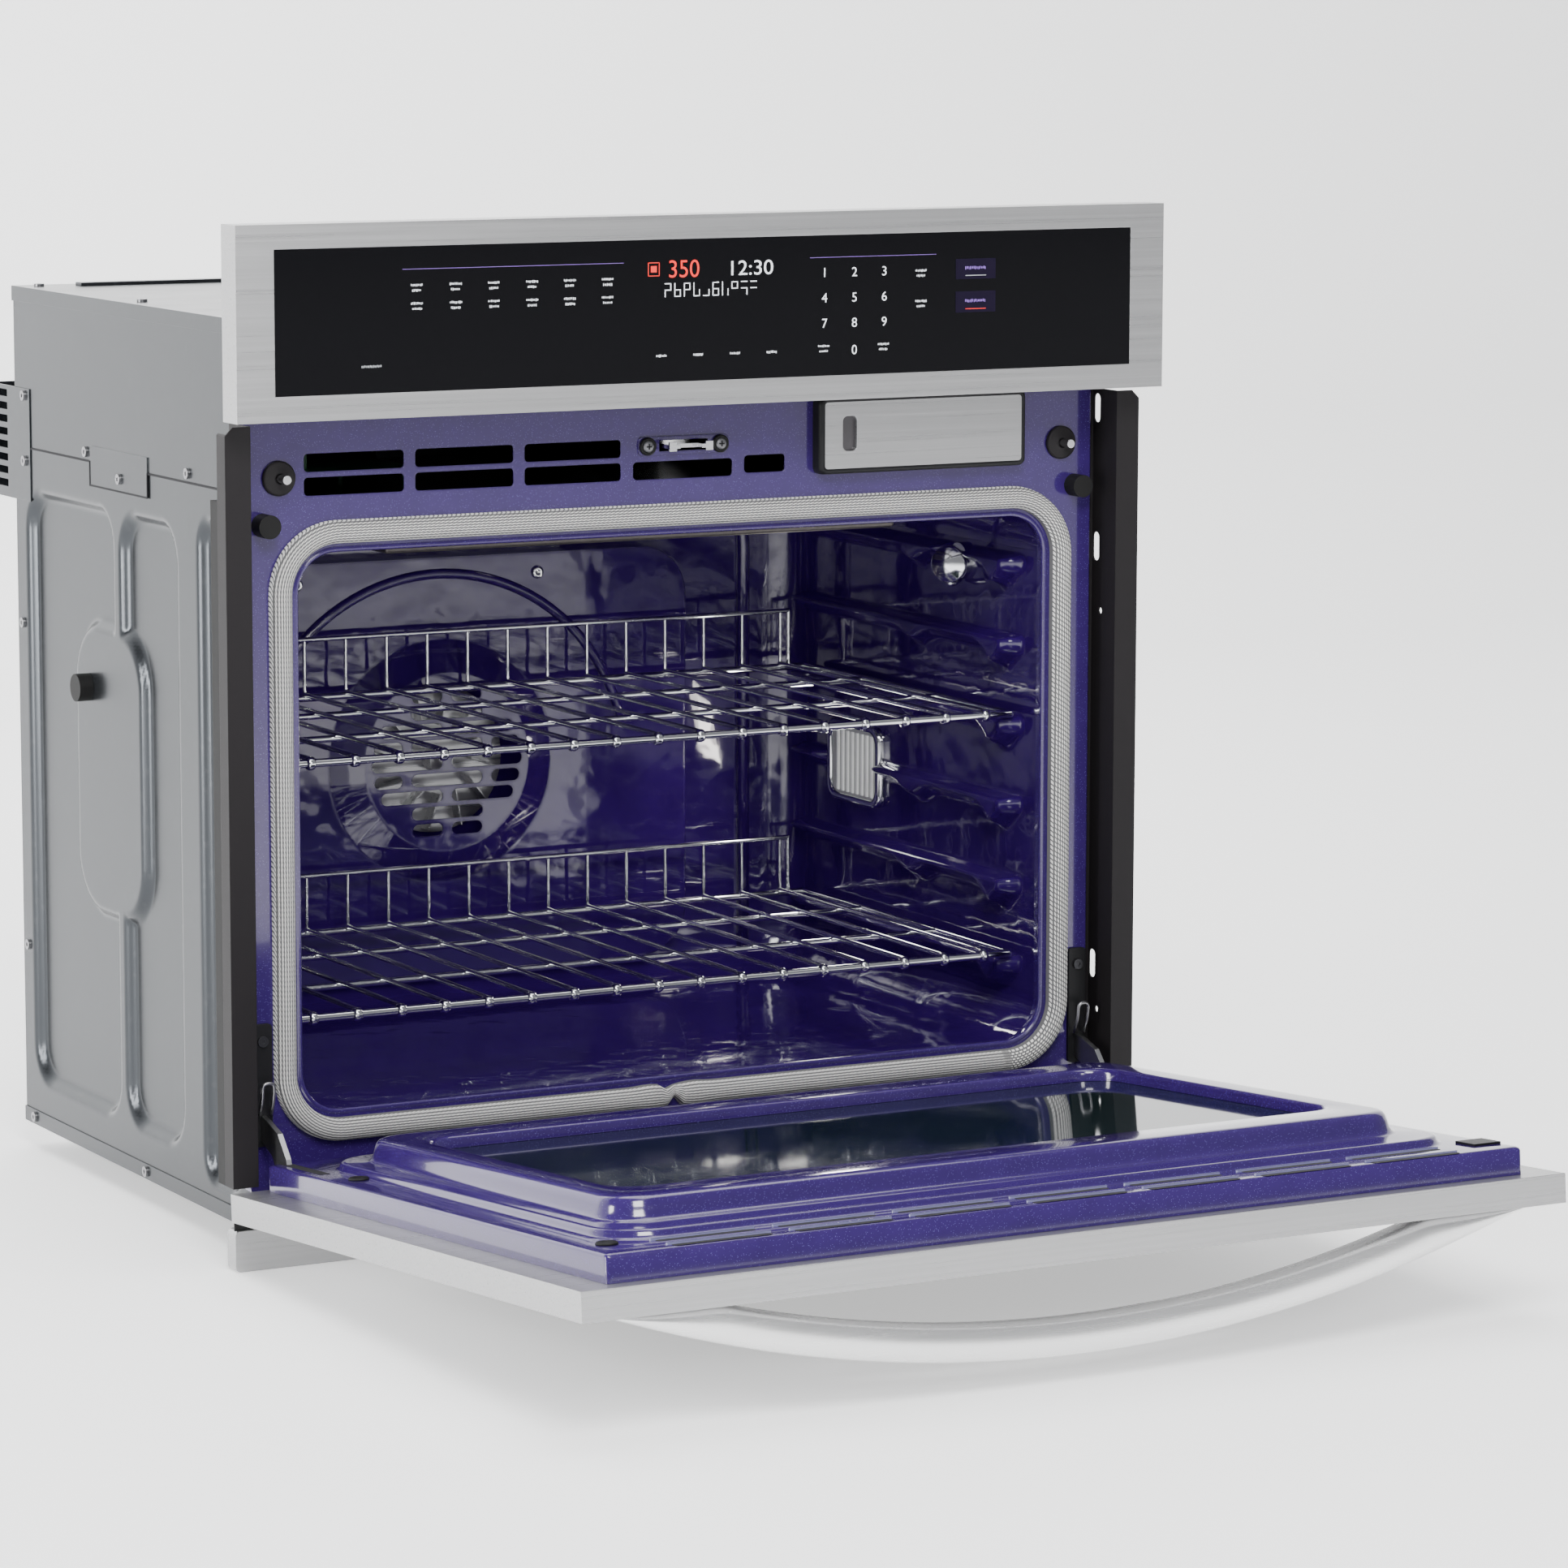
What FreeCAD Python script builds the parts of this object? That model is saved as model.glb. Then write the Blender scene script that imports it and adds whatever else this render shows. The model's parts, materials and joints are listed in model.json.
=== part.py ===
"""Built-in wall oven with a drop-down door, two racks, a convection fan and a steam water tank.

Millimetres. X runs across the front, Y from the front into the cabinet and Z up. The pieces are laid
out from the control panel's front face (Y 0) and the bottom trim's lower edge (Z 0), with the door
closed. save() then moves everything so that the origin is the centre of the base's underside.
"""
import FreeCAD
import Part
import math
import os

V = FreeCAD.Vector

# ---- overall sizes
PANEL_W = 756.0          # control panel and door width
PANEL_H = 138.0          # control panel height
PANEL_D = 25.0           # control panel depth
PANEL_Z = 609.5          # control panel lower edge
SHEET = 1.0              # chassis sheet steel
ENAMEL = 1.2             # enamelled sheet steel
GAP = 0.3                # clearance between pieces that move past each other

# ---- chassis box
CH_X = 345.0             # half width over the side panels
CH_Y0 = 58.2             # front edge of the side panels
CH_Y1 = 517.0            # rear face
CH_Z0 = 20.0             # underside of the base
CH_Z1 = 676.0            # underside of the top cover
LIP = 11.5               # turned lips of the base and the top cover
SEAM_Z = 554.0           # joint between the side panels and the upper covers
TONGUE_Z = 536.0         # lower ends of the upper covers' tongues
EMBOSS = 7.0             # depth of the side panels' pressed fields
FIELDS = (               # pressed fields: y0, y1, z0, z1, corner radius
    (193.0, 305.0, 55.0, 522.0, 30.0),
    (317.0, 495.0, 55.0, 522.0, 30.0),
    (84.0, 154.0, 40.0, 531.0, 20.0),
)
PILL = (268.0, 396.0, 214.0, 427.0, 40.0)   # raised island between the fields, the same way
TONGUE_Y0, TONGUE_Y1 = 246.0, 359.0
BRACKET_IN = 33.0        # how far the air brackets reach forward of the rear face
BRACKET_OUT = 52.0       # and behind it
BRACKET_Z0, BRACKET_Z1 = 512.0, 599.0
BRACKET_SLOTS = 8
BRACKET_PITCH = 10.0
DECK_Z = 545.0           # underside of the shelf over the insulation
WOOL_X = 336.5           # half width of the insulation
WOOL_Y0, WOOL_Z0 = 80.0, 60.0
WOOL_T = 29.0            # insulation behind the cavity

# ---- front frame and cavity
FRAME_Y = 57.0           # enamel face of the front frame
FRAME_X = 350.0          # half width of the front frame
FRAME_Z0 = 48.0
FRAME_Z1 = 608.0
FRAME_RETURN = 12.0      # depth of the frame's turned edges
CAV_X = 316.0            # cavity half width
CAV_Z0 = 98.0            # cavity floor
CAV_Z1 = 518.0           # cavity ceiling
CAV_Y1 = 470.0           # cavity back wall
MOUTH_LIP = 7.0          # how far the frame's mouth stands inside the cavity walls
MOUTH_R = 30.0           # corner radius of the mouth
GASKET_W = 18.0          # width of the gasket band
GASKET_GAP = 5.0         # from the mouth's edge to the gasket
GASKET_D = 10.6          # how far the gasket stands out of the frame
LEVELS = 6               # rack levels
LEVEL_PITCH = 62.5
LEVEL_Z0 = 162.2         # top of the lowest rack ledge
LEDGE_H = 18.0
LEDGE_D = 16.0           # how far a ledge stands in from the wall
LEDGE_Y0 = 104.0
LEDGE_Y1 = CAV_Y1 - 18.0

# ---- racks
ROD = 3.0                # radius of the rack's frame rod
RUNG = 2.0               # radius of the rack's rungs
RACK_CLEAR = 8.0         # from the cavity wall to the frame rods
RACK_X = CAV_X - RACK_CLEAR
RACK_Y0 = 98.0
RACK_Y1 = CAV_Y1 - 40.0
UPRIGHT = 1.5            # radius of the rear fence's uprights
RUNGS = 17
RUNG_MARGIN = 25.6       # from the frame rods' outer side to the outermost rungs
RUNG_PITCH = 2 * (RACK_X - RUNG_MARGIN) / (RUNGS - 1)
STAY = 2.6               # radius of the cross stays under the rungs
STAY_SPOTS = (112.0, 232.0)                # behind the front rod
FENCE_H = 46.0
FENCE_INSET = 18.0       # from the frame rods' outer side to the fence's ends
RACK_LEVELS = {"rack_lower": 0, "rack_upper": 3}

# ---- fan, heaters and lamp
FAN_X = -15.0
FAN_Z = 293.0
GRILLE_R = 72.0          # flat, slotted middle of the baffle
DISH_R = 100.0           # foot of the baffle's dish
DISH_D = 12.0
PAN_D = 21.0             # depth of the baffle's pan
PAN_Y = CAV_Y1 - PAN_D
PAN_X0, PAN_X1 = -245.0, 205.0
PAN_Z0, PAN_Z1 = 120.0, 456.0
FAN_R = 60.0
FAN_BLADES = 12
SHAFT_R = 4.0
SHAFT_CLEAR = 0.05
SHAFT_REACH = 35.0       # how far the fan's shaft goes into its motor
MOTOR_R = 30.0
ELEMENT_R = 3.2
RING_R = 85.0            # ring heater round the fan
BROIL_DROP = 15.0        # broil element below the ceiling
BROIL_Y0 = 120.0
BAKE_X, BAKE_Y0 = 220.0, 150.0
SENSOR_X, SENSOR_Z = 240.0, 480.0
LAMP_Y, LAMP_Z = 357.0, 281.0
LAMP_L, LAMP_H = 82.0, 64.0
JACK_Y, JACK_Z = 190.0, 462.0
JACK_R = 8.0

# ---- front frame fittings
PLUNGER_X, PLUNGER_Z = 323.0, 565.0
PLUNGER_R = 12.0
PIN_R = 3.2
PIN_REACH = 16.5         # pin tip ahead of the frame face
BUMPER_X, BUMPER_Z = 335.5, 532.0
BUMPER_R = 8.5
LATCH_Z = 576.0
LATCH_SCREW_X = 30.0
RECEIVER_W = 15.0
RECEIVER_X = CAV_X - MOUTH_LIP + GASKET_GAP + GASKET_W + 1.5 + RECEIVER_W / 2
RECEIVER_Z0, RECEIVER_Z1 = 84.0, 173.5
RECEIVER_SCREW_Z = 161.0
VENT_X0 = -303.0         # first vent slot's left end
VENT_W = 78.0
VENT_PITCH = 87.0
VENT_H = 13.0
VENT_R = 3.0
VENT_ROWS = (575.0, 558.0)
TANK_X0, TANK_X1 = 109.5, 285.5
TANK_Z0, TANK_Z1 = 550.5, 607.0
TANK_BORDER = 3.0
TANK_L = 200.0

# ---- cabinet trims
TRIM_X = 375.5           # half width over the side trims
TRIM_Y = 28.5            # front of the side and bottom trims
TRIM_BAND = 19.5
TRIM_Z0, TRIM_Z1 = 61.0, 605.0
TRIM_DEPTH = 15.0        # outer return, back to the cabinet face
TRIM_WALL = 35.5         # inner wall
CABINET_HOLE_R = 2.5
CABINET_HOLE_Y = 50.0
CABINET_HOLES = (125.0, 435.0)
BOTTOM_TRIM_H = 30.0

# ---- door, laid out closed
DOOR_Z0, DOOR_Z1 = 36.0, 600.0
SKIN_D = 20.5            # depth of the stainless skin's edges
LINER_X = 352.5
LINER_Z0, LINER_Z1 = 45.0, 585.5
RIM_Y = 40.0             # liner's rim, the lowest of its three levels
STEP_Y = 46.0            # sealing step
PLATEAU_Y = 62.0         # raised middle
STEP_X = CAV_X + 11.0    # the step lands on the gasket and the plateau enters the mouth
STEP_Z0, STEP_Z1 = 84.0, 547.0
STEP_R = 38.0
PLATEAU_X = CAV_X - MOUTH_LIP - 5.0
PLATEAU_Z0, PLATEAU_Z1 = 110.0, 507.0
PLATEAU_R = 25.0
WINDOW_X = PLATEAU_X - 23.0
WINDOW_Z0, WINDOW_Z1 = 150.0, 466.0
WINDOW_R = 26.0
WINDOW_DROP = 9.0        # how far the inner glass lies below the plateau
GLASS_T = 4.0
OUTER_LAP = 12.0         # how far the outer glass laps behind the skin's opening
INNER_LAP = 12.0         # and the inner glass behind the liner's
SKIN_OPEN = 19.0         # how much further than the inner window the skin's opening goes sideways
SKIN_OPEN_Z = 10.0       # and up and down
VENT_SPAN = 76.0         # the liner's air slots
VENT_STEP = 89
LINER_VENTS = (517.0, 540.0)             # above the door's lower edge
CHEEK = 1.2              # hinge cheeks inside the door
CHEEK_OUT = 5.5          # from the arm's middle to a cheek's outer face
CHEEK_Z0, CHEEK_Z1 = 47.0, 190.0
PIVOT_Y, PIVOT_Z = 12.2, 51.1
PIVOT_R = 4.0
OPEN_ANGLE = 85.25       # how far the open door turns down from closed
HANDLE_X = 355.0         # half length of the handle
HANDLE_OUT = 64.0        # how far its middle stands out of the door
HANDLE_GAP = 38.0        # finger space behind its middle
HANDLE_FOOT = 83.0       # length of each end that lies on the door
HANDLE_Z0, HANDLE_Z1 = 565.0, 592.0

# ---- control panel glass, behind the frame's opening
GLASS_SIDE = 29.0        # frame's border at each side
GLASS_Z0, GLASS_TOP = 18.0, 17.4           # and below and above
GLASS_LAP = 7.0
NECK_INSET = 30.0        # panel's sheet box inside the chassis sides

# ---- blower, boards and boiler on the deck
BLOWER_X, BLOWER_Y, BLOWER_Z = 110.0, 420.0, 610.0
BLOWER_D, BLOWER_H = 120.0, 122.0
BLOWER_WALL = 2.0
WHEEL_R = 44.0
WHEEL_X = 96.0
WHEEL_BLADES = 20
BOARD_T = 1.6
POST_H = 14.0
BOILER_X, BOILER_R = 210.0, 26.0

# ---- conduit
CONDUIT_R = 11.1
CONDUIT_X, CONDUIT_Z = 230.0, 620.0
CONDUIT_L = 14.0

ORIGIN = V(0, (CH_Y0 + CH_Y1) / 2, CH_Z0)
DOOR_TURN = FreeCAD.Placement(V(), FreeCAD.Rotation(V(1, 0, 0), OPEN_ANGLE), V(0, PIVOT_Y, PIVOT_Z))


# ---------------------------------------------------------------- helpers
def box(x0, x1, y0, y1, z0, z1):
    return Part.makeBox(x1 - x0, y1 - y0, z1 - z0, V(x0, y0, z0))


def rod(a, b, r):
    """A round bar from point a to point b."""
    a, b = V(*a), V(*b)
    return Part.makeCylinder(r, (b - a).Length, a, b - a)


def ball(p, r):
    return Part.makeSphere(r, V(*p))


def fuse(shapes):
    shapes = list(shapes)
    return shapes[0].multiFuse(shapes[1:]).removeSplitter() if len(shapes) > 1 else shapes[0]


def cut(shape, *tools):
    return shape.cut(list(tools)).removeSplitter()


def mirrored(shape):
    return shape.mirror(V(0, 0, 0), V(1, 0, 0))


def pair(shape):
    return [shape, mirrored(shape)]


def prism(points, direction):
    """A straight prism over a closed outline of points."""
    corners = [V(*p) for p in points]
    return Part.Face(Part.makePolygon(corners + corners[:1])).extrude(V(*direction))


def round_panel(x0, x1, z0, z1, y0, y1, r):
    """A plate in the XZ plane with rounded corners."""
    plate = box(x0, x1, y0, y1, z0, z1)
    edges = [e for e in plate.Edges if abs(e.Vertexes[0].Y - e.Vertexes[1].Y) > (y1 - y0) / 2]
    return plate.makeFillet(r, edges)


def round_side(y0, y1, z0, z1, x0, x1, r):
    """A plate in the YZ plane with rounded corners."""
    plate = box(x0, x1, y0, y1, z0, z1)
    edges = [e for e in plate.Edges if abs(e.Vertexes[0].X - e.Vertexes[1].X) > (x1 - x0) / 2]
    return plate.makeFillet(r, edges)


def slot_xz(x0, x1, z, height, y0, y1, r):
    """A slot along X with corners of radius r."""
    return round_panel(x0, x1, z - height / 2, z + height / 2, y0, y1, r)


def screw(p, axis, head=4.0, shank=2.0, length=6.0, rise=2.0):
    """A cross-recess screw: its head stands on p, and its shank goes the other way."""
    p, axis = V(*p), V(*axis)
    cap = Part.makeCylinder(head, rise, p, axis)
    cross = Part.makeCylinder(head * 0.4, rise * 0.5, p + axis * rise * 0.6, axis)
    return cap.cut(cross).fuse(Part.makeCylinder(shank, length, p, -axis))


def save(name, shapes, turn=None):
    """Writes one node: a solid, or a group of separate solids."""
    shapes = shapes if isinstance(shapes, list) else [shapes]
    solids = [s.copy() for shape in shapes for s in shape.Solids]
    whole = Part.makeCompound(solids) if len(solids) > 1 else solids[0]
    if turn:
        whole.Placement = turn.multiply(whole.Placement)
    whole.translate(-ORIGIN)
    whole.exportStep("parts/%s.step" % name)
    print("%-20s %3d solids %9.1f cm3" % (name, len(solids), whole.Volume / 1000))


# ---------------------------------------------------------------- chassis
def base_panel():
    x, y1 = CH_X + SHEET, CH_Y1 + SHEET
    floor = box(-x, x, CH_Y0, y1, CH_Z0, CH_Z0 + SHEET)
    sides = pair(box(-x, -CH_X, CH_Y0, y1, CH_Z0, CH_Z0 + LIP))
    return fuse([floor, box(-x, x, CH_Y1, y1, CH_Z0, CH_Z0 + LIP)] + sides)


def pressed_fields(inset, x0, x1):
    """The side panel's pressed areas: two behind, one in front, less the raised pill between them."""
    fields = [round_side(y0 + inset, y1 - inset, z0 + inset, z1 - inset, x0, x1, r)
              for y0, y1, z0, z1, r in FIELDS]
    y0, y1, z0, z1, r = PILL
    pill = round_side(y0 - inset, y1 + inset, z0 - inset, z1 + inset, x0 - 1, x1 + 1, r)
    return fuse(fields).cut(pill)


def side_panel():
    outer, inner = -CH_X, -CH_X + EMBOSS
    sheet = box(outer, outer + SHEET, CH_Y0, CH_Y1, CH_Z0 + SHEET, SEAM_Z)
    pans = pressed_fields(0, outer, inner + SHEET).cut(pressed_fields(SHEET, outer, inner))
    return sheet.cut(pressed_fields(0, outer, outer + SHEET)).fuse(pans).removeSplitter()


def upper_cover():
    sheet = box(-CH_X, -CH_X + SHEET, CH_Y0, CH_Y1, SEAM_Z, CH_Z1)
    tongue = box(-CH_X - SHEET, -CH_X, TONGUE_Y0, TONGUE_Y1, TONGUE_Z, SEAM_Z + LIP)
    return fuse([sheet, tongue])


def top_panel():
    x, y1, z1 = CH_X + SHEET, CH_Y1 + SHEET, CH_Z1 + SHEET
    top = box(-x, x, CH_Y0, y1, CH_Z1, z1)
    sides = pair(box(-x, -CH_X, CH_Y0, y1, z1 - LIP, z1))
    return fuse([top, box(-x, x, CH_Y1, y1, z1 - LIP, z1)] + sides)


def rear_panel():
    x = CH_X - SHEET
    sheet = box(-x, x, CH_Y1 - SHEET, CH_Y1, CH_Z0 + SHEET, CH_Z1)
    conduit = rod((CONDUIT_X, CH_Y1 - 5, CONDUIT_Z), (CONDUIT_X, CH_Y1 + 5, CONDUIT_Z), CONDUIT_R)
    return cut(sheet, conduit)


def motor_cover():
    outer = box(FAN_X - 66, FAN_X + 66, CH_Y1, CH_Y1 + 36, FAN_Z - 66, FAN_Z + 66)
    inner = box(FAN_X - 65, FAN_X + 65, CH_Y1, CH_Y1 + 35, FAN_Z - 65, FAN_Z + 65)
    return cut(outer, inner)


def conduit_fitting():
    start, end = (CONDUIT_X, CH_Y1, CONDUIT_Z), (CONDUIT_X, CH_Y1 + CONDUIT_L, CONDUIT_Z)
    return cut(rod(start, end, CONDUIT_R + 4), rod(start, end, CONDUIT_R))


def air_bracket():
    """The perforated plate at each rear corner, turned in behind the rear panel."""
    x, y0, y1 = -CH_X - SHEET, CH_Y1 - BRACKET_IN, CH_Y1 + BRACKET_OUT
    plate = box(x, x + SHEET, y0, y1, BRACKET_Z0, BRACKET_Z1)
    turned = box(x, x + 40, y1 - SHEET, y1, BRACKET_Z0, BRACKET_Z1)
    slots = []
    for i in range(BRACKET_SLOTS):
        z = BRACKET_Z0 + 8 + BRACKET_PITCH * i
        slots.append(box(x - 1, x + 2, CH_Y1 + 14, CH_Y1 + 38, z, z + 5.7))
    return cut(fuse([plate, turned]), *slots)


def deck():
    """The shelf over the insulation that carries the blower, boards and water parts."""
    x = CH_X - SHEET
    return box(-x, x, CH_Y0, CH_Y1 - SHEET, DECK_Z, DECK_Z + SHEET)


def insulation():
    outer = box(-WOOL_X, WOOL_X, WOOL_Y0, CAV_Y1 + ENAMEL + WOOL_T, WOOL_Z0, DECK_Z)
    cavity = box(-CAV_X - ENAMEL, CAV_X + ENAMEL, WOOL_Y0 - 1, CAV_Y1 + ENAMEL, CAV_Z0 - 14, CAV_Z1 + ENAMEL)
    motor = rod((FAN_X, CAV_Y1, FAN_Z), (FAN_X, CH_Y1, FAN_Z), MOTOR_R + 70)
    lamp = box(CAV_X, 340, LAMP_Y - 50, LAMP_Y + 50, LAMP_Z - 40, LAMP_Z + 40)
    jack = box(CAV_X, 340, JACK_Y - 14, JACK_Y + 14, JACK_Z - 14, JACK_Z + 14)
    sensor = rod((SENSOR_X, CAV_Y1, SENSOR_Z), (SENSOR_X, CH_Y1, SENSOR_Z), 8)
    leads = box(-60, 60, CAV_Y1, CH_Y1, CAV_Z0 - 14, CAV_Z0 + 20)
    broil = box(-60, 60, CAV_Y1, CH_Y1, CAV_Z1 - 30, CAV_Z1)
    return cut(outer, cavity, motor, lamp, jack, sensor, leads, broil)


# ---------------------------------------------------------------- cavity
def ledge(level):
    """One pressed rack guide, with sloping ends and underside."""
    z, wall = LEVEL_Z0 + level * LEVEL_PITCH, -CAV_X - ENAMEL / 2
    inner = -CAV_X + LEDGE_D
    section = [(wall, LEDGE_Y0, z), (inner - 2, LEDGE_Y0, z), (inner, LEDGE_Y0, z - 2),
               (inner, LEDGE_Y0, z - LEDGE_H + 8), (wall, LEDGE_Y0, z - LEDGE_H)]
    return prism(section, (0, LEDGE_Y1 - LEDGE_Y0, 0))


def cavity_liner():
    y0, r = CH_Y0, MOUTH_R + MOUTH_LIP
    inner = round_panel(-CAV_X, CAV_X, CAV_Z0, CAV_Z1, y0, CAV_Y1, r)
    t = ENAMEL
    outer = round_panel(-CAV_X - t, CAV_X + t, CAV_Z0 - t, CAV_Z1 + t, y0, CAV_Y1 + t, r + t)
    shell = outer.cut(inner)
    ledges = [part for level in range(LEVELS) for part in pair(ledge(level))]
    shaft = rod((FAN_X, CAV_Y1 - 1, FAN_Z), (FAN_X, CAV_Y1 + 5, FAN_Z), SHAFT_R + 3)
    lamp = box(CAV_X - 1, CAV_X + 5, LAMP_Y - 37, LAMP_Y + 37, LAMP_Z - 28, LAMP_Z + 28)
    jack = rod((CAV_X - 1, JACK_Y, JACK_Z), (CAV_X + 5, JACK_Y, JACK_Z), JACK_R)
    holes = [rod((x, CAV_Y1 - 1, z), (x, CAV_Y1 + 5, z), ELEMENT_R) for x, z in wall_leads()]
    lens_gap = box(CAV_X - LEDGE_D - 1, CAV_X, LAMP_Y - 43, LAMP_Y + 43, LAMP_Z - 34, LAMP_Z + 34)
    jack_gap = rod((CAV_X - LEDGE_D - 1, JACK_Y, JACK_Z), (CAV_X, JACK_Y, JACK_Z), 17)
    return cut(fuse([shell] + ledges), shaft, lamp, jack, lens_gap, jack_gap, *holes)


def wall_leads():
    """Where round leads pass the back wall: the ring heater's, the broil element's and the sensor's."""
    ring = [(FAN_X + side * 12, FAN_Z - RING_R) for side in (-1, 1)]
    broil = [(side * 30, CAV_Z1 - BROIL_DROP) for side in (-1, 1)]
    return ring + broil + [(SENSOR_X, SENSOR_Z)]


def fan_cover():
    """The baffle: a flanged pan with a slotted dish in front of the fan."""
    t = ENAMEL
    y1 = CAV_Y1
    pan = round_panel(PAN_X0, PAN_X1, PAN_Z0, PAN_Z1, PAN_Y, y1, 40)
    pan = pan.cut(round_panel(PAN_X0 + t, PAN_X1 - t, PAN_Z0 + t, PAN_Z1 - t, PAN_Y + t, y1, 38))
    foot = V(FAN_X, PAN_Y + t, FAN_Z)
    dish = Part.makeCone(DISH_R, GRILLE_R, DISH_D + t, foot, V(0, -1, 0))
    hollow = Part.makeCone(DISH_R - t, GRILLE_R - t, DISH_D, foot, V(0, -1, 0))
    return cut(pan.fuse(dish), hollow, *(grille_slots() + pan_vents()))


def grille_slots():
    """Staggered rows of round-ended slots across the dish's flat middle."""
    y0, y1, slots = PAN_Y - DISH_D - 1, PAN_Y - DISH_D + 3, []
    for row in range(-4, 5):
        z = FAN_Z + row * 13.4
        reach = math.sqrt((GRILLE_R - 6) ** 2 - (abs(row) * 13.4 + 5) ** 2)
        step = 70
        shift = 0 if row % 2 else step / 2
        for i in range(-2, 3):
            a, b = max(-reach, i * step - shift - 31), min(reach, i * step - shift + 31)
            if b - a > 18:
                slots.append(slot_xz(FAN_X + a, FAN_X + b, z, 10, y0, y1, 4.9))
    return slots


def pan_vents():
    """Air outlets through both upright edges of the pan."""
    return [box(x - 3, x + 3, PAN_Y + 6, CAV_Y1 - 4, z, z + 34)
            for x in (PAN_X0, PAN_X1) for z in (175, 225, 275, 325, 375)]


def convection_fan():
    y = CAV_Y1 - 5
    back = rod((FAN_X, y - ENAMEL, FAN_Z), (FAN_X, y, FAN_Z), FAN_R)
    hub = rod((FAN_X, y - 17, FAN_Z), (FAN_X, y, FAN_Z), 10)
    shaft = rod((FAN_X, y - 15, FAN_Z), (FAN_X, CAV_Y1 + SHAFT_REACH, FAN_Z), SHAFT_R)
    blades = []
    for i in range(FAN_BLADES):
        inner = FAN_X + FAN_R - 32
        blade = box(inner, FAN_X + FAN_R - 2, y - 14, y - ENAMEL / 2, FAN_Z - 0.6, FAN_Z + 0.6)
        blade.rotate(V(inner, y, FAN_Z), V(0, 1, 0), 20)
        blade.rotate(V(FAN_X, y, FAN_Z), V(0, 1, 0), i * 360 / FAN_BLADES)
        blades.append(blade)
    return fuse([back, hub, shaft] + blades)


def fan_motor():
    y0 = CAV_Y1 + ENAMEL
    plate = box(FAN_X - 60, FAN_X + 60, y0, y0 + 2, FAN_Z - 40, FAN_Z + 40)
    body = rod((FAN_X, y0, FAN_Z), (FAN_X, CH_Y1 - SHEET, FAN_Z), MOTOR_R)
    end = CAV_Y1 + SHAFT_REACH + 3
    bore = rod((FAN_X, y0 - 1, FAN_Z), (FAN_X, end, FAN_Z), SHAFT_R + SHAFT_CLEAR)
    return cut(fuse([plate, body]), bore)


def ring_heater():
    y = CAV_Y1 - 11
    ring = Part.makeTorus(RING_R, ELEMENT_R, V(FAN_X, y, FAN_Z), V(0, 1, 0))
    leads = [rod((x, y, z), (x, CAV_Y1 + 16, z), ELEMENT_R) for x, z in wall_leads()[:2]]
    return fuse([ring] + leads)


def loop_element(points):
    """A bent heating rod through the given points."""
    rods = [rod(a, b, ELEMENT_R) for a, b in zip(points, points[1:])]
    return fuse(rods + [ball(p, ELEMENT_R) for p in points[1:-1]])


def broil_element():
    z, y0, y1, back = CAV_Z1 - BROIL_DROP, BROIL_Y0, CAV_Y1 + 16, CAV_Y1 - 70
    half = [(30, y1, z), (30, back, z), (90, back, z), (90, y0 + 40, z), (150, y0 + 40, z),
            (150, back, z), (210, back, z), (210, y0, z)]
    other = [(-x, y, z) for x, y, z in reversed(half)]
    hangers = [box(x - 2, x + 2, 300, 312, z, CAV_Z1) for x in (-210, -90, 90, 210)]
    return fuse([loop_element(half + other)] + hangers)


def bake_element():
    z = CAV_Z0 - ENAMEL - ELEMENT_R
    y1, back, x = CAV_Y1 + 20, CAV_Y1 - 90, BAKE_X
    points = [(30, y1, z), (30, back, z), (x, back, z), (x, BAKE_Y0, z), (-x, BAKE_Y0, z),
              (-x, back, z), (-30, back, z), (-30, y1, z)]
    return loop_element(points)


def lamp_housing():
    y0, y1, z0, z1 = LAMP_Y - 44, LAMP_Y + 44, LAMP_Z - 34, LAMP_Z + 34
    x0 = CAV_X + ENAMEL
    return cut(box(x0, x0 + 19, y0, y1, z0, z1), box(x0, x0 + 18, y0 + 6, y1 - 6, z0 + 6, z1 - 6))


def lamp_lens():
    x1 = CAV_X
    lens = round_side(LAMP_Y - LAMP_L / 2, LAMP_Y + LAMP_L / 2, LAMP_Z - LAMP_H / 2,
                      LAMP_Z + LAMP_H / 2, x1 - 4, x1, 12)
    return cut(lens, box(x1 - 1.5, x1, LAMP_Y - 35, LAMP_Y + 35, LAMP_Z - 26, LAMP_Z + 26))


def lamp_bulb():
    x = CAV_X + ENAMEL + 18
    return fuse([rod((x, LAMP_Y, LAMP_Z), (x - 6, LAMP_Y, LAMP_Z), 8),
                 rod((x - 5, LAMP_Y, LAMP_Z), (x - 15, LAMP_Y, LAMP_Z), 5)])


def probe_jack():
    body = rod((CAV_X - 6, JACK_Y, JACK_Z), (CAV_X + 18, JACK_Y, JACK_Z), JACK_R)
    cap = rod((CAV_X - 5, JACK_Y, JACK_Z), (CAV_X, JACK_Y, JACK_Z), 14.5)
    return cut(fuse([body, cap]), rod((CAV_X - 8, JACK_Y, JACK_Z), (CAV_X + 8, JACK_Y, JACK_Z), 2.6))


def temperature_sensor():
    x, z = SENSOR_X, SENSOR_Z
    probe = rod((x, CAV_Y1 - 26, z), (x, CAV_Y1 + 20, z), 2.5)
    return fuse([probe, box(x - 12, x + 12, CAV_Y1 - 1.5, CAV_Y1, z - 7, z + 7)])


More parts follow.
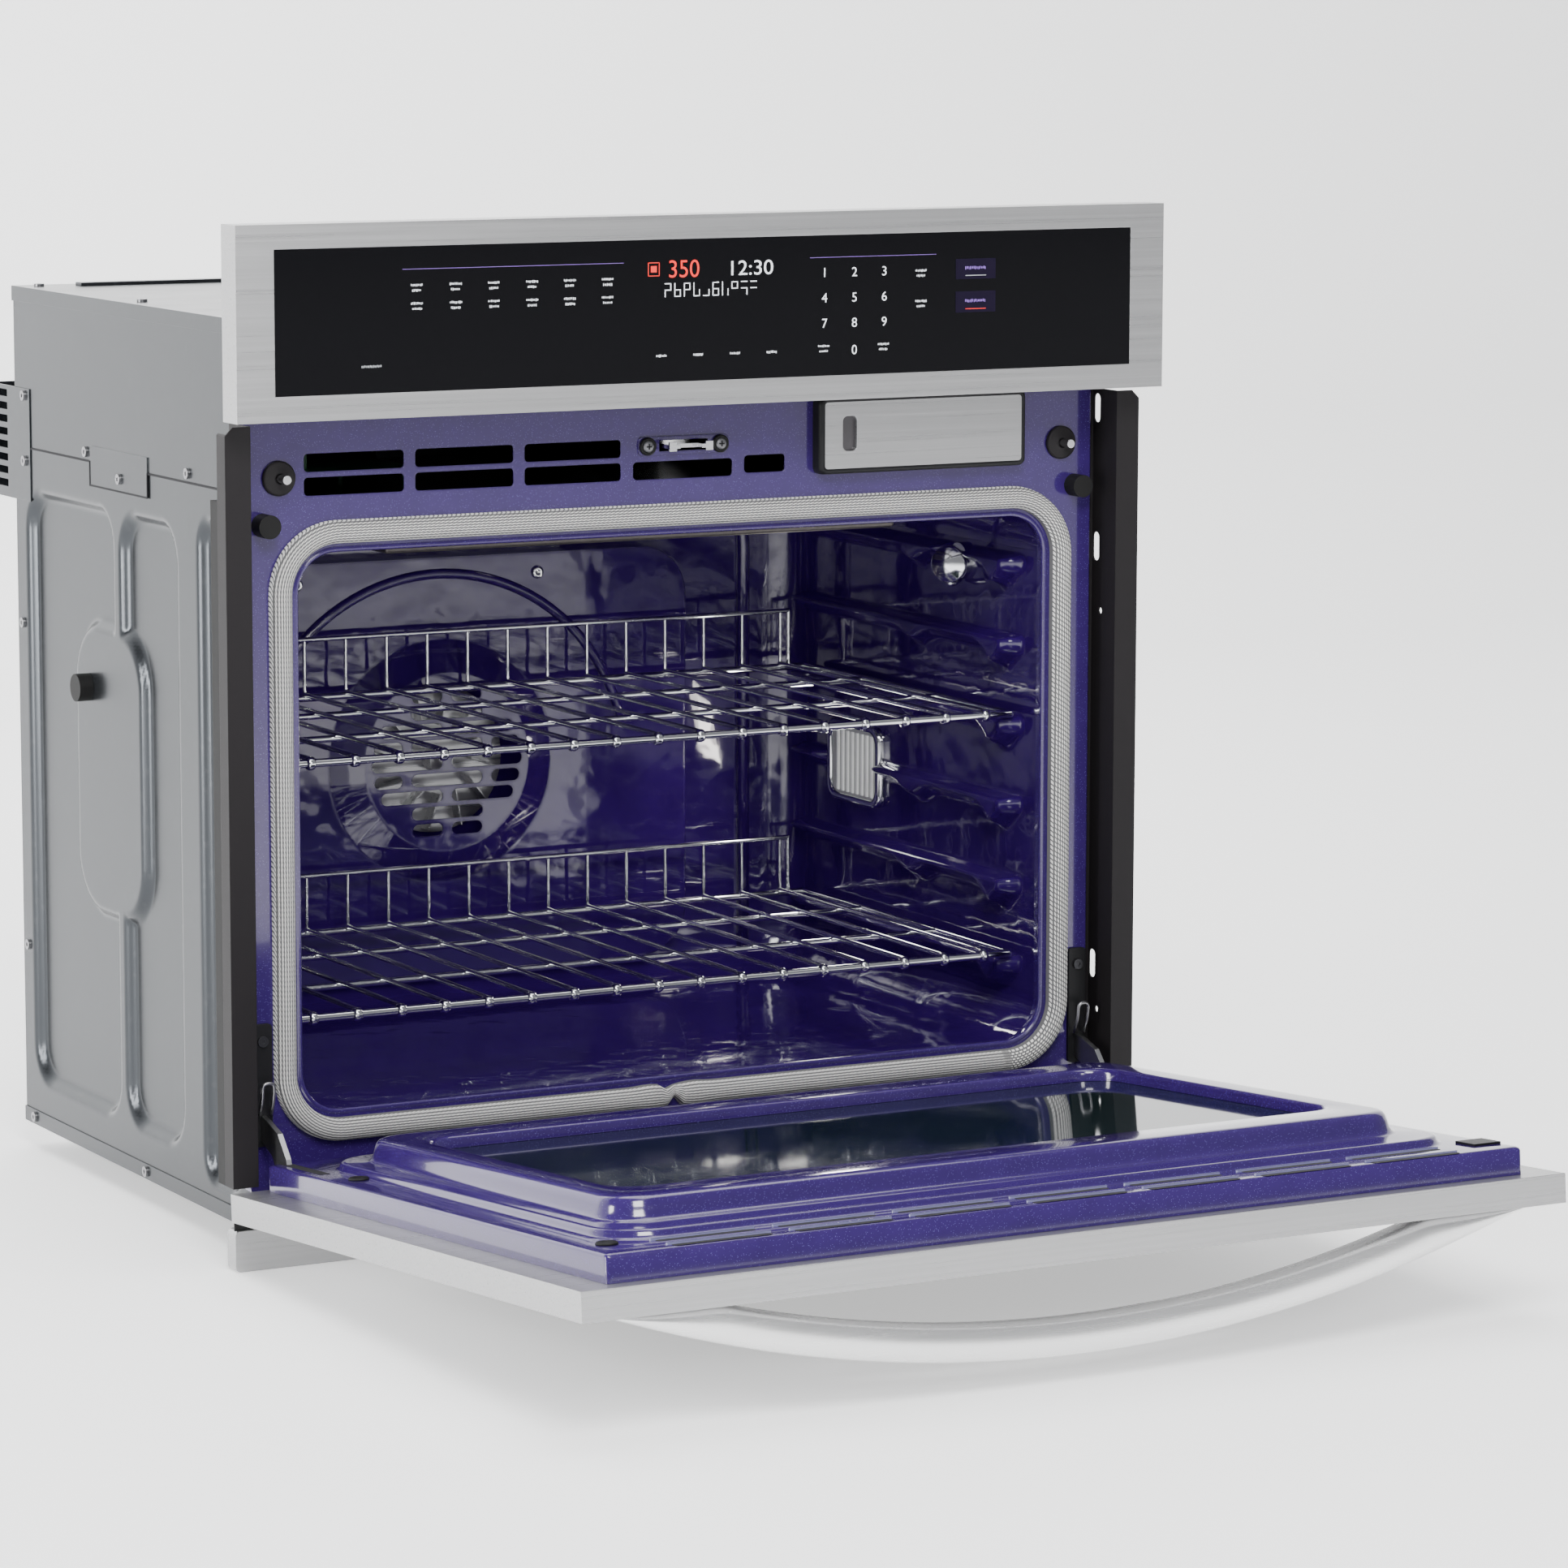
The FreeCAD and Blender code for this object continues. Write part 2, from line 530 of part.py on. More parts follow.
# ---------------------------------------------------------------- front frame
def frame_openings():
    y0, y1 = FRAME_Y - 5, FRAME_Y + 5
    m = MOUTH_LIP
    tools = [round_panel(-CAV_X + m, CAV_X - m, CAV_Z0 + m, CAV_Z1 - m, y0, y1, MOUTH_R)]
    for z in VENT_ROWS:
        for i in range(3):
            x = VENT_X0 + i * VENT_PITCH
            tools.append(slot_xz(x, x + VENT_W, z, VENT_H, y0, y1, VENT_R))
    tools.append(slot_xz(-41, 41, VENT_ROWS[1], VENT_H, y0, y1, VENT_R))
    tools.append(slot_xz(51, 85, VENT_ROWS[1] + 1.5, VENT_H, y0, y1, VENT_R))
    tools.append(box(-20, 20, y0, y1, LATCH_Z - 4, LATCH_Z + 4))
    b = TANK_BORDER
    tools.append(box(TANK_X0 + b, TANK_X1 - b, y0, y1, TANK_Z0 + b, TANK_Z1 - b))
    tools += pair(rod((PLUNGER_X, y0, PLUNGER_Z), (PLUNGER_X, y1, PLUNGER_Z), PLUNGER_R - 3))
    return tools


def front_frame():
    y1 = FRAME_Y + ENAMEL
    face = round_panel(-FRAME_X, FRAME_X, FRAME_Z0, FRAME_Z1, FRAME_Y, FRAME_Y + FRAME_RETURN, 6)
    t = ENAMEL
    hollow = round_panel(-FRAME_X + t, FRAME_X - t, FRAME_Z0 + t, FRAME_Z1 - t, y1, y1 + 20, 5)
    notches = pair(box(-CH_X, -CH_X + SHEET, y1, y1 + 20, 0, 700))
    return cut(face, hollow, *(notches + frame_openings() + pair(hinge_arm())))


def door_gasket():
    y0, y1 = FRAME_Y - GASKET_D, FRAME_Y
    x = CAV_X - MOUTH_LIP + GASKET_GAP
    z0, z1 = CAV_Z0 + MOUTH_LIP - GASKET_GAP, CAV_Z1 - MOUTH_LIP + GASKET_GAP
    w, r = GASKET_W, MOUTH_R + GASKET_GAP
    outer = round_panel(-x - w, x + w, z0 - w, z1 + w, y0, y1, r + w)
    band = outer.cut(round_panel(-x, x, z0, z1, y0, y1, r))
    front = [e for e in band.Edges if abs(e.BoundBox.YMin - y0) < 1e-4 and e.BoundBox.YLength < 1e-3]
    return band.makeFillet(4.0, front)


def hinge_arm():
    """The fixed hinge arm: it leaves the frame, dips under the door's liner and ends in an eye."""
    x0, x1 = RECEIVER_X - 2, RECEIVER_X + 2
    py, pz = PIVOT_Y, PIVOT_Z
    outline = [(75, 111), (44, 105), (24, 99), (9, 83), (py - 9, 63), (py - 9, pz), (py + 9, pz),
               (24, 67), (34, 81), (54, 89), (75, 93)]
    plate = prism([(x0, y, z) for y, z in outline], (x1 - x0, 0, 0))
    return fuse([plate, rod((x0, py, pz), (x1, py, pz), 9)])


def hinge_arm_with_pin():
    a, b = RECEIVER_X - CHEEK_OUT, RECEIVER_X + CHEEK_OUT
    pin = rod((a, PIVOT_Y, PIVOT_Z), (b, PIVOT_Y, PIVOT_Z), PIVOT_R)
    return fuse([hinge_arm(), pin])


def hinge_receiver():
    x0, x1 = RECEIVER_X - RECEIVER_W / 2, RECEIVER_X + RECEIVER_W / 2
    plate = round_panel(x0, x1, RECEIVER_Z0, RECEIVER_Z1, FRAME_Y - 3, FRAME_Y, 3)
    return cut(plate, hinge_arm())


def plunger_housing():
    x, z, y = PLUNGER_X, PLUNGER_Z, FRAME_Y
    disc = rod((x, y - 3, z), (x, y, z), PLUNGER_R)
    barrel = rod((x, y, z), (x, y + 30, z), PLUNGER_R - 3.5)
    return cut(fuse([disc, barrel]), rod((x, y - 4, z), (x, y + 31, z), PIN_R + SHAFT_CLEAR))


def plunger_pin(side):
    tip, end = FRAME_Y - PIN_REACH, FRAME_Y + 24
    return rod((side * PLUNGER_X, tip, PLUNGER_Z), (side * PLUNGER_X, end, PLUNGER_Z), PIN_R)


def front_bumper():
    return rod((BUMPER_X, FRAME_Y - 14.5, BUMPER_Z), (BUMPER_X, FRAME_Y, BUMPER_Z), BUMPER_R)


def latch_plate():
    plate = round_panel(-37, 37, LATCH_Z - 7, LATCH_Z + 7, FRAME_Y - 1.2, FRAME_Y, 3)
    return cut(plate, box(-20, 20, FRAME_Y - 3, FRAME_Y + 1, LATCH_Z - 4, LATCH_Z + 4))


def latch_hook():
    """A forked bolt that moves straight in and out through the latch plate."""
    y0 = FRAME_Y - 14
    bolt = box(-18, 18, y0, FRAME_Y + 30, LATCH_Z - 1.5, LATCH_Z + 1.5)
    fork = box(-9, 9, y0 - 1, y0 + 8, LATCH_Z - 2, LATCH_Z + 2)
    lips = pair(box(-18, -12, y0, y0 + 2, LATCH_Z - 3.4, LATCH_Z + 3.4))
    return fuse([cut(bolt, fork)] + lips)


# ---------------------------------------------------------------- trims and control panel
def side_trim():
    """A folded channel: front band, outer return, slotted inner wall and rear flange."""
    x0, x1, y = -TRIM_X, -TRIM_X + TRIM_BAND, TRIM_Y
    z0, z1, t = TRIM_Z0, TRIM_Z1, ENAMEL
    rear = y + TRIM_WALL
    folded = [box(x0, x1, y, y + t, z0, z1), box(x0, x0 + t, y, y + TRIM_DEPTH, z0, z1),
              box(x1 - t, x1, y, rear, z0, z1), box(x1 - t, -FRAME_X, rear - t, rear, z0, z1)]
    slots = [round_side(52.5, 61.5, z - 11, z + 11, x1 - 5, x1 + 5, 4) for z in (160, 484, 590)]
    holes = [rod((x1 - 5, CABINET_HOLE_Y, z), (x1 + 5, CABINET_HOLE_Y, z), CABINET_HOLE_R)
             for z in CABINET_HOLES]
    corner = prism([(x0 - 1, y - 1, z1 + 1), (x0 + 7, y - 1, z1 + 1), (x0 - 1, y - 1, z1 - 7)], (0, 40, 0))
    return cut(fuse(folded), corner, *(slots + holes))


def bottom_trim():
    x, y, t = TRIM_X - 1.1, TRIM_Y, ENAMEL
    tray = round_panel(-x, x, 0, BOTTOM_TRIM_H, y, y + TRIM_DEPTH, 4)
    return cut(tray, round_panel(-x + t, x - t, t, BOTTOM_TRIM_H - t, y + t, y + TRIM_DEPTH, 3))


def bottom_flange():
    """The black strip that joins the base to the bottom trim."""
    y0, z0 = TRIM_Y + ENAMEL, CH_Z0
    shelf = box(-FRAME_X + 2, FRAME_X - 2, y0, CH_Y0, z0, z0 + ENAMEL)
    riser = box(-FRAME_X + 2, FRAME_X - 2, FRAME_Y, CH_Y0, z0, FRAME_Z0)
    return fuse([shelf, riser])


def corner_flange():
    """A notched black tab that stands on the bottom trim under each side trim."""
    y, z = TRIM_Y + 2.5, BOTTOM_TRIM_H
    outline = [(-374, y, z), (-374, y, z + 11), (-350, y, z + 11), (-346, y, z + 6), (-322, y, z + 5),
               (-318, y, z)]
    return prism(outline, (0, ENAMEL, 0))


def panel_frame():
    x, z0, z1, t = PANEL_W / 2, PANEL_Z, PANEL_Z + PANEL_H, ENAMEL
    tray = cut(box(-x, x, 0, PANEL_D, z0, z1), box(-x + t, x - t, t, PANEL_D, z0 + t, z1 - t))
    return cut(tray, glass_block(0, -1, 5))


def glass_block(lap, y0, y1):
    """The control panel's opening, or a plate that laps behind its edge."""
    x = PANEL_W / 2 - GLASS_SIDE + lap
    return box(-x, x, y0, y1, PANEL_Z + GLASS_Z0 - lap, PANEL_Z + PANEL_H - GLASS_TOP + lap)


def panel_glass():
    return fuse([glass_block(0, 0.3, GLASS_T), glass_block(GLASS_LAP, ENAMEL, GLASS_T)])


def panel_back():
    """The sheet box behind the control panel that carries it on the chassis."""
    x, z0 = CH_X - NECK_INSET, PANEL_Z
    half = PANEL_W / 2 - 0.5
    plate = box(-half, half, PANEL_D, PANEL_D + SHEET, z0 + 0.5, z0 + PANEL_H - 0.5)
    neck = box(-x, x, PANEL_D, CH_Y0 + 12, z0 + 3, CH_Z1)
    hollow = box(-x + 1, x - 1, PANEL_D + 1, CH_Y0 + 13, z0 + 4, CH_Z1 - 1)
    return fuse([plate, cut(neck, hollow)])


def control_board():
    x, y, z0 = CH_X - NECK_INSET - 15, GLASS_T + 5, PANEL_Z
    posts = [rod((px, GLASS_T, z), (px, y, z), 3)
             for px in (10 - x, -100, 100, x - 10) for z in (z0 + 30, z0 + PANEL_H - 28)]
    return fuse([box(-x, x, y, y + BOARD_T, z0 + 24, z0 + PANEL_H - 22)] + posts)


def power_board():
    z0 = DECK_Z + SHEET
    z1 = z0 + POST_H
    posts = [rod((x, y, z0), (x, y, z1), 3) for x in (-320, -190) for y in (130, 250)]
    transformer = box(-300, -260, 150, 200, z1 + BOARD_T / 2, z1 + 36)
    return fuse([box(-328, -182, 122, 258, z1, z1 + BOARD_T), transformer] + posts)


def blower_housing():
    """A box with a round throat on the deck; the wheel's shaft turns in its two end walls."""
    x, z0, w = BLOWER_X, DECK_Z + SHEET, BLOWER_WALL
    y0, y1, z1 = BLOWER_Y - BLOWER_D / 2, BLOWER_Y + BLOWER_D / 2, DECK_Z + SHEET + BLOWER_H
    shell = box(-x, x, y0, y1, z0, z1)
    inside = box(-x + w, x - w, y0 + w, y1 - w, z0 + w, z1 - w)
    mouth = box(-x + 20, x - 20, y0 - 10, y0 + 5, z0 + 14, z0 + 94)
    shaft = rod((-x - 5, BLOWER_Y, BLOWER_Z), (x + 5, BLOWER_Y, BLOWER_Z), SHAFT_R + SHAFT_CLEAR)
    return cut(shell, inside, mouth, shaft)


def blower_wheel():
    w, y, z = WHEEL_X, BLOWER_Y, BLOWER_Z
    discs = [rod((x, y, z), (x + 2, y, z), WHEEL_R) for x in (-w, -1, w - 2)]
    blades = []
    for i in range(WHEEL_BLADES):
        a = 2 * math.pi * i / WHEEL_BLADES
        by, bz = y + (WHEEL_R - 3) * math.cos(a), z + (WHEEL_R - 3) * math.sin(a)
        blades.append(rod((1 - w, by, bz), (w - 1, by, bz), 1.5))
    return fuse([rod((-BLOWER_X - 2, y, z), (BLOWER_X + 2, y, z), SHAFT_R)] + discs + blades)


def steam_boiler():
    x, z0, z = BOILER_X, DECK_Z + SHEET, DECK_Z + SHEET + 44
    feet = [box(x - 30, x + 30, y, y + 4, z0, z) for y in (300, 440)]
    return fuse([rod((x, 290, z), (x, 455, z), BOILER_R), rod((x, 280, z), (x, 470, z), 5)] + feet)


# ---------------------------------------------------------------- water tank
def tank_bay():
    b = TANK_BORDER
    x0, x1, z0, z1 = TANK_X0, TANK_X1, TANK_Z0, TANK_Z1
    border = round_panel(x0, x1, z0, z1, FRAME_Y - 8, FRAME_Y, 5)
    tunnel = box(x0 + b, x1 - b, FRAME_Y - 1, FRAME_Y + TANK_L + 6, z0 + b, z1 - b)
    hollow = box(x0 + b + 1.5, x1 - b - 1.5, FRAME_Y - 9, FRAME_Y + TANK_L + 3, z0 + b + 1.5, z1 - b - 1.5)
    feet = [box(x0 + 20, x1 - 20, y, y + 10, DECK_Z + SHEET, z0 + b) for y in (90, 230)]
    return cut(fuse([border, tunnel] + feet), hollow)


def water_tank():
    g = TANK_BORDER + 1.5 + GAP
    x0, x1, z0, z1 = TANK_X0 + g, TANK_X1 - g, TANK_Z0 + g, TANK_Z1 - g - 2
    body = box(x0, x1, FRAME_Y - 8 - GAP, FRAME_Y + TANK_L, z0, z1)
    return cut(body, box(x0 + 2, x1 - 2, FRAME_Y - 6, FRAME_Y + TANK_L - 2, z0 + 2, z1 - 2))


def tank_front():
    """The tank's steel face laps over the bay's border, with a slot for the water level."""
    g = TANK_BORDER
    x0, x1, z0, z1 = TANK_X0 + g, TANK_X1 - g, TANK_Z0 + g, TANK_Z1 - g
    face = round_panel(x0, x1, z0, z1, FRAME_Y - 11.5, FRAME_Y - 8 - GAP, 3)
    gauge = round_panel(x0 + 15.5, x0 + 27.5, z0 + 13.5, z1 - 11, FRAME_Y - 12, FRAME_Y - 7, 4)
    return cut(face, gauge)


# ---------------------------------------------------------------- racks
def rack(level):
    z = LEVEL_Z0 + level * LEVEL_PITCH + ROD + GAP
    x, y0, y1 = RACK_X - ROD, RACK_Y0, RACK_Y1
    corners = [(-x, y0, z), (x, y0, z), (x, y1, z), (-x, y1, z)]
    loop = corners + corners[:1]
    frame = [rod(a, b, ROD) for a, b in zip(loop, loop[1:])] + [ball(p, ROD) for p in corners]
    rungs = []
    for i in range(RUNGS):
        rx = (i - (RUNGS - 1) / 2) * RUNG_PITCH
        rungs.append(rod((rx, y0 - 1, z + ROD), (rx, y1 + 1, z + ROD), RUNG))
    stays = [rod((-x, y0 + y, z), (x, y0 + y, z), STAY) for y in STAY_SPOTS]
    top, end = z + FENCE_H, RACK_X - FENCE_INSET
    fence = [(-end, y1, z), (-end, y1, top), (end, y1, top), (end, y1, z)]
    wires = [rod(a, b, RUNG) for a, b in zip(fence, fence[1:])] + [ball(p, RUNG) for p in fence[1:3]]
    wires += [rod((r.CenterOfMass.x, y1, z), (r.CenterOfMass.x, y1, top), UPRIGHT) for r in rungs]
    return fuse(frame + rungs + stays + wires)


# ---------------------------------------------------------------- door
def door_skin():
    x, z0, z1, t = PANEL_W / 2, DOOR_Z0, DOOR_Z1, ENAMEL
    tray = cut(box(-x, x, 0, SKIN_D, z0, z1), box(-x + t, x - t, t, SKIN_D - t, z0 + t, z1 - t))
    back = box(-LINER_X + 6, LINER_X - 6, SKIN_D - 2 * t, SKIN_D + t, LINER_Z0 + 6, LINER_Z1 - 6)
    wx, wz0, wz1 = WINDOW_X + SKIN_OPEN, WINDOW_Z0 - SKIN_OPEN_Z, WINDOW_Z1 + SKIN_OPEN_Z
    window = round_panel(-wx, wx, wz0, wz1, -1, t + 1, 12)
    a, b = RECEIVER_X - CHEEK_OUT - GAP, RECEIVER_X + CHEEK_OUT + GAP
    slots = pair(box(a, b, 10, SKIN_D + 1, z0 - 1, 60))
    return cut(tray, back, window, *slots)


def door_glass():
    x = WINDOW_X + SKIN_OPEN + OUTER_LAP
    lap = SKIN_OPEN_Z + OUTER_LAP
    return box(-x, x, ENAMEL, ENAMEL + GLASS_T, WINDOW_Z0 - lap, WINDOW_Z1 + lap)


def liner_levels(inset):
    x, z0, z1 = LINER_X - inset, LINER_Z0 + inset, LINER_Z1 - inset
    rim = box(-x, x, SKIN_D - (1 if inset else 0), RIM_Y - inset, z0, z1)
    step = round_panel(-STEP_X + inset, STEP_X - inset, STEP_Z0 + inset, STEP_Z1 - inset,
                       RIM_Y - inset - 1, STEP_Y - inset, STEP_R - inset)
    plateau = round_panel(-PLATEAU_X + inset, PLATEAU_X - inset, PLATEAU_Z0 + inset,
                          PLATEAU_Z1 - inset, STEP_Y - inset - 1, PLATEAU_Y - inset, PLATEAU_R - inset)
    return rim.multiFuse([step, plateau])


def door_liner():
    window = round_panel(-WINDOW_X, WINDOW_X, WINDOW_Z0, WINDOW_Z1, 50, 70, WINDOW_R)
    slots = pair(box(RECEIVER_X - 4, RECEIVER_X + 4, SKIN_D - 1, RIM_Y + 1, LINER_Z0 - 1, 122))
    half = VENT_SPAN / 2
    vents = [box(i * VENT_STEP - half, i * VENT_STEP + half, RIM_Y - 3, RIM_Y + 1, z - 3, z + 3)
             for z in [DOOR_Z0 + up for up in LINER_VENTS] for i in range(-3, 4)]
    t, y1 = ENAMEL, PLATEAU_Y - ENAMEL
    lip = round_panel(-WINDOW_X - t, WINDOW_X + t, WINDOW_Z0 - t, WINDOW_Z1 + t, PLATEAU_Y - WINDOW_DROP,
                      PLATEAU_Y, WINDOW_R + t)
    shell = cut(liner_levels(0), liner_levels(t).cut(box(-400, 400, y1, 99, 0, 700)))
    return cut(fuse([shell, lip]), window, *(slots + vents))


def door_window():
    y1 = PLATEAU_Y - WINDOW_DROP
    x, z0, z1 = WINDOW_X + INNER_LAP, WINDOW_Z0 - INNER_LAP, WINDOW_Z1 + INNER_LAP
    return box(-x, x, y1 - GLASS_T, y1, z0, z1)


def door_insulation():
    """A frame of wool round the windows, between the hinge cheeks."""
    outer, inner, y0 = RECEIVER_X - CHEEK_OUT - 9.5, WINDOW_X + 33, ENAMEL + GLASS_T + 2.8
    z0, z1 = WINDOW_Z0 - 24, WINDOW_Z1 + 24
    return cut(box(-outer, outer, y0, RIM_Y - ENAMEL, z0 - 56, z1 + 55),
               box(-inner, inner, y0 - 1, RIM_Y, z0, z1))


def hinge_housing():
    """Two cheeks beside the fixed arm, inside the door."""
    y1 = RIM_Y - ENAMEL
    a, b = RECEIVER_X - CHEEK_OUT, RECEIVER_X + CHEEK_OUT
    cheeks = [box(x, x + CHEEK, ENAMEL, y1, CHEEK_Z0, CHEEK_Z1) for x in (a, b - CHEEK)]
    bore = rod((RECEIVER_X - 9, PIVOT_Y, PIVOT_Z), (RECEIVER_X + 9, PIVOT_Y, PIVOT_Z),
               PIVOT_R + SHAFT_CLEAR)
    bridge = box(a, b, ENAMEL, y1, CHEEK_Z1 - 4, CHEEK_Z1)
    return cut(fuse(cheeks + [bridge]), bore)


def door_pads():
    x, y0, y1 = LINER_X - 19, RIM_Y, RIM_Y + 1.6
    discs = [rod((-x, y0, z), (-x, y1, z), 5.5) for z in (162, 549)]
    return discs + [box(LINER_X - 24.5, LINER_X - 2.5, y0, y1, 541, 564)]


def door_handle():
    """A flat crescent: its ends lie on the door and its middle stands out."""
    z0, outer, inner = HANDLE_Z0, HANDLE_X, HANDLE_X - HANDLE_FOOT
    a, b, c, d = [V(x, 0, z0) for x in (-outer, outer, inner, -inner)]
    edges = [Part.Arc(a, V(0, -HANDLE_OUT, z0), b).toShape(), Part.makeLine(b, c),
             Part.Arc(c, V(0, -HANDLE_GAP, z0), d).toShape(), Part.makeLine(d, a)]
    return Part.Face(Part.Wire(edges)).extrude(V(0, 0, HANDLE_Z1 - z0))


# ---------------------------------------------------------------- fasteners
def case_screws():
    left = (-1, 0, 0)
    rear, plate = CH_Y1 - 11, CH_Y1 - 22.4
    low, high = CH_Z0 + 6, SEAM_Z + 6
    spots = [(CH_Y1 - 21, low, 1), (266, low, 1), (369, high, 0), (170, high, 0), (rear, 416, 0),
             (rear, 162, 0), (plate, BRACKET_Z1 - 5.4, 1), (plate, BRACKET_Z0 + 31, 1),
             (300, TONGUE_Z + 9, 1)]
    sides = [screw((-CH_X - lift, y, z), left) for y, z, lift in spots]
    tops = [screw((x, y, CH_Z1 + SHEET), (0, 0, 1)) for x in (-330, 330) for y in (80, 290, 500)]
    return sides + [mirrored(s) for s in sides] + tops


def front_screws():
    front = (0, -1, 0)
    screws = pair(screw((RECEIVER_X, FRAME_Y - 3, RECEIVER_SCREW_Z), front))
    screws += pair(screw((LATCH_SCREW_X, FRAME_Y - 1.2, LATCH_Z), front, head=5.5, rise=2.2))
    return screws + [screw((x, PAN_Y, PAN_Z1 - 16), front, length=4) for x in (-139, 71)]


def drilled(shape, screws):
    """A sheet with clearance for the screws that pass through it."""
    near = [s for s in screws if s.BoundBox.intersect(shape.BoundBox)]
    return cut(shape, *near) if near else shape


def side_bumper():
    return rod((-CH_X, 371, 381), (-CH_X - 11, 371, 381), 10.5)


# ---------------------------------------------------------------- assembly
def main():
    os.makedirs("parts", exist_ok=True)
    screws = case_screws()
    fronts = front_screws()
    static = {
        "base_panel": base_panel(), "left_side_panel": side_panel(),
        "right_side_panel": mirrored(side_panel()), "upper_covers": pair(upper_cover()),
        "top_panel": top_panel(), "rear_panel": rear_panel(), "motor_cover": motor_cover(),
        "conduit_fitting": conduit_fitting(), "air_brackets": pair(air_bracket()), "deck": deck(),
        "insulation": insulation(), "cavity_liner": cavity_liner(), "fan_cover": fan_cover(),
        "fan_motor": fan_motor(), "ring_heater": ring_heater(), "broil_element": broil_element(),
        "bake_element": bake_element(), "lamp_housing": lamp_housing(), "lamp_lens": lamp_lens(),
        "lamp_bulb": lamp_bulb(), "probe_jack": probe_jack(),
        "temperature_sensor": temperature_sensor(), "front_frame": front_frame(),
        "door_gasket": door_gasket(), "hinge_arms": pair(hinge_arm_with_pin()),
        "hinge_receivers": pair(hinge_receiver()), "plunger_housings": pair(plunger_housing()),
        "front_bumpers": pair(front_bumper()), "latch_plate": latch_plate(),
        "side_trims": pair(side_trim()), "bottom_trim": bottom_trim(),
        "bottom_flange": [bottom_flange()] + pair(corner_flange()),
        "panel_frame": panel_frame(),
        "panel_glass": panel_glass(), "panel_back": panel_back(), "control_board": control_board(),
        "power_board": power_board(), "blower_housing": blower_housing(),
        "steam_boiler": steam_boiler(), "tank_bay": tank_bay(), "side_bumpers": pair(side_bumper()),
    }
    for name, shapes in static.items():
        shapes = shapes if isinstance(shapes, list) else [shapes]
        save(name, [drilled(s, screws + fronts) for s in shapes])
    save("case_screws", screws)
    save("front_screws", fronts)
    save("convection_fan", convection_fan())
    save("blower_wheel", blower_wheel())
    save("left_plunger_pin", plunger_pin(-1))
    save("right_plunger_pin", plunger_pin(1))
    save("latch_hook", latch_hook())
    save("water_tank", water_tank())
    save("tank_front", tank_front())
    for name, level in RACK_LEVELS.items():
        save(name, rack(level))
    for name, shapes in (("door_skin", door_skin()), ("door_glass", door_glass()),
                         ("door_liner", door_liner()), ("door_window", door_window()),
                         ("door_insulation", door_insulation()),
                         ("hinge_housings", pair(hinge_housing())), ("door_pads", door_pads()),
                         ("door_handle", door_handle())):
        save(name, shapes, DOOR_TURN)


main()
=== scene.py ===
"""The looks of a built-in wall oven with its door open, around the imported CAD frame."""

import math
import random

import bpy
import numpy as np
from mathutils import Matrix, Vector
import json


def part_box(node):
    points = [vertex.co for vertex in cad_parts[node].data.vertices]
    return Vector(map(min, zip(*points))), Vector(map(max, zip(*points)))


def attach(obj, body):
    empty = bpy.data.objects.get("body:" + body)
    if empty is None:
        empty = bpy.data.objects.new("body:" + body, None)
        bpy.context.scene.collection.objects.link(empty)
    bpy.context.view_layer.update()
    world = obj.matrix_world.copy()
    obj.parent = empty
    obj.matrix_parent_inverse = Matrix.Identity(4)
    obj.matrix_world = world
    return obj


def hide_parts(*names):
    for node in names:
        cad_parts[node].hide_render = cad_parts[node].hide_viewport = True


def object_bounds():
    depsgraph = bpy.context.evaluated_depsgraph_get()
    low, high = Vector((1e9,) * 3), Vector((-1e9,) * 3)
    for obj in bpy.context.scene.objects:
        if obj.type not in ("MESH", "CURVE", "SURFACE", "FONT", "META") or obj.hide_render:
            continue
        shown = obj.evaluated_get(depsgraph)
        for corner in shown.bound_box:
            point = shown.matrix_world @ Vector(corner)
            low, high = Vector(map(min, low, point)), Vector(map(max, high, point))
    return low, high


MM = 0.001
CHASSIS_X = 345          # side panels' outer face
CAVITY_X = 316           # cavity's half width
CAVITY_Z = (98, 518)     # cavity's floor and ceiling
CAVITY_R = 37            # cavity's long corners
FRAME_Y = 57             # front frame's enamelled face
HINGE_X = 341            # hinge arms
GASKET_R = 53            # gasket's corners
GASKET_TIE = -11         # where the gasket's ends are tied
LATCH_Z = 576            # door latch
SIDES = (("left", -1), ("right", 1))

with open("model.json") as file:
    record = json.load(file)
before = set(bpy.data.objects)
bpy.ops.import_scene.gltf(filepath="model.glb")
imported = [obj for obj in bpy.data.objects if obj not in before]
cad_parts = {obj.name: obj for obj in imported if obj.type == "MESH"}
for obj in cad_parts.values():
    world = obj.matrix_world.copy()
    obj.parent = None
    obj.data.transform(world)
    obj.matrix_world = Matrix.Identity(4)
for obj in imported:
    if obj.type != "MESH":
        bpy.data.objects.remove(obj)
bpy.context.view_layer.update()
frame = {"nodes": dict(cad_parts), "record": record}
record = frame["record"]

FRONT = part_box("panel_frame")[0][1]      # control panel's front face, metres
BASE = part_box("bottom_trim")[0][2]       # bottom trim's lower edge, metres
hinge = next(j for j in record["behaviour"]["joints"] if j["name"] == "door_hinge")
OPEN = math.radians(hinge["range_deg"][1])
PIVOT = Vector(hinge["pos_m"])
# Swings a piece from the closed door to the rest pose, where the door is open.
DOOR = Matrix.Translation(PIVOT) @ Matrix.Rotation(OPEN, 4, "X") @ Matrix.Translation(-PIVOT)
rng = random.Random(7)


# ------------------------------------------------------------ materials
def node(tree, kind, **values):
    """A new shader node; each value sets an input or, if there is none, a property."""
    n = tree.nodes.new(kind)
    for key, value in values.items():
        if key in n.inputs:
            n.inputs[key].default_value = value
        else:
            setattr(n, key, value)
    return n


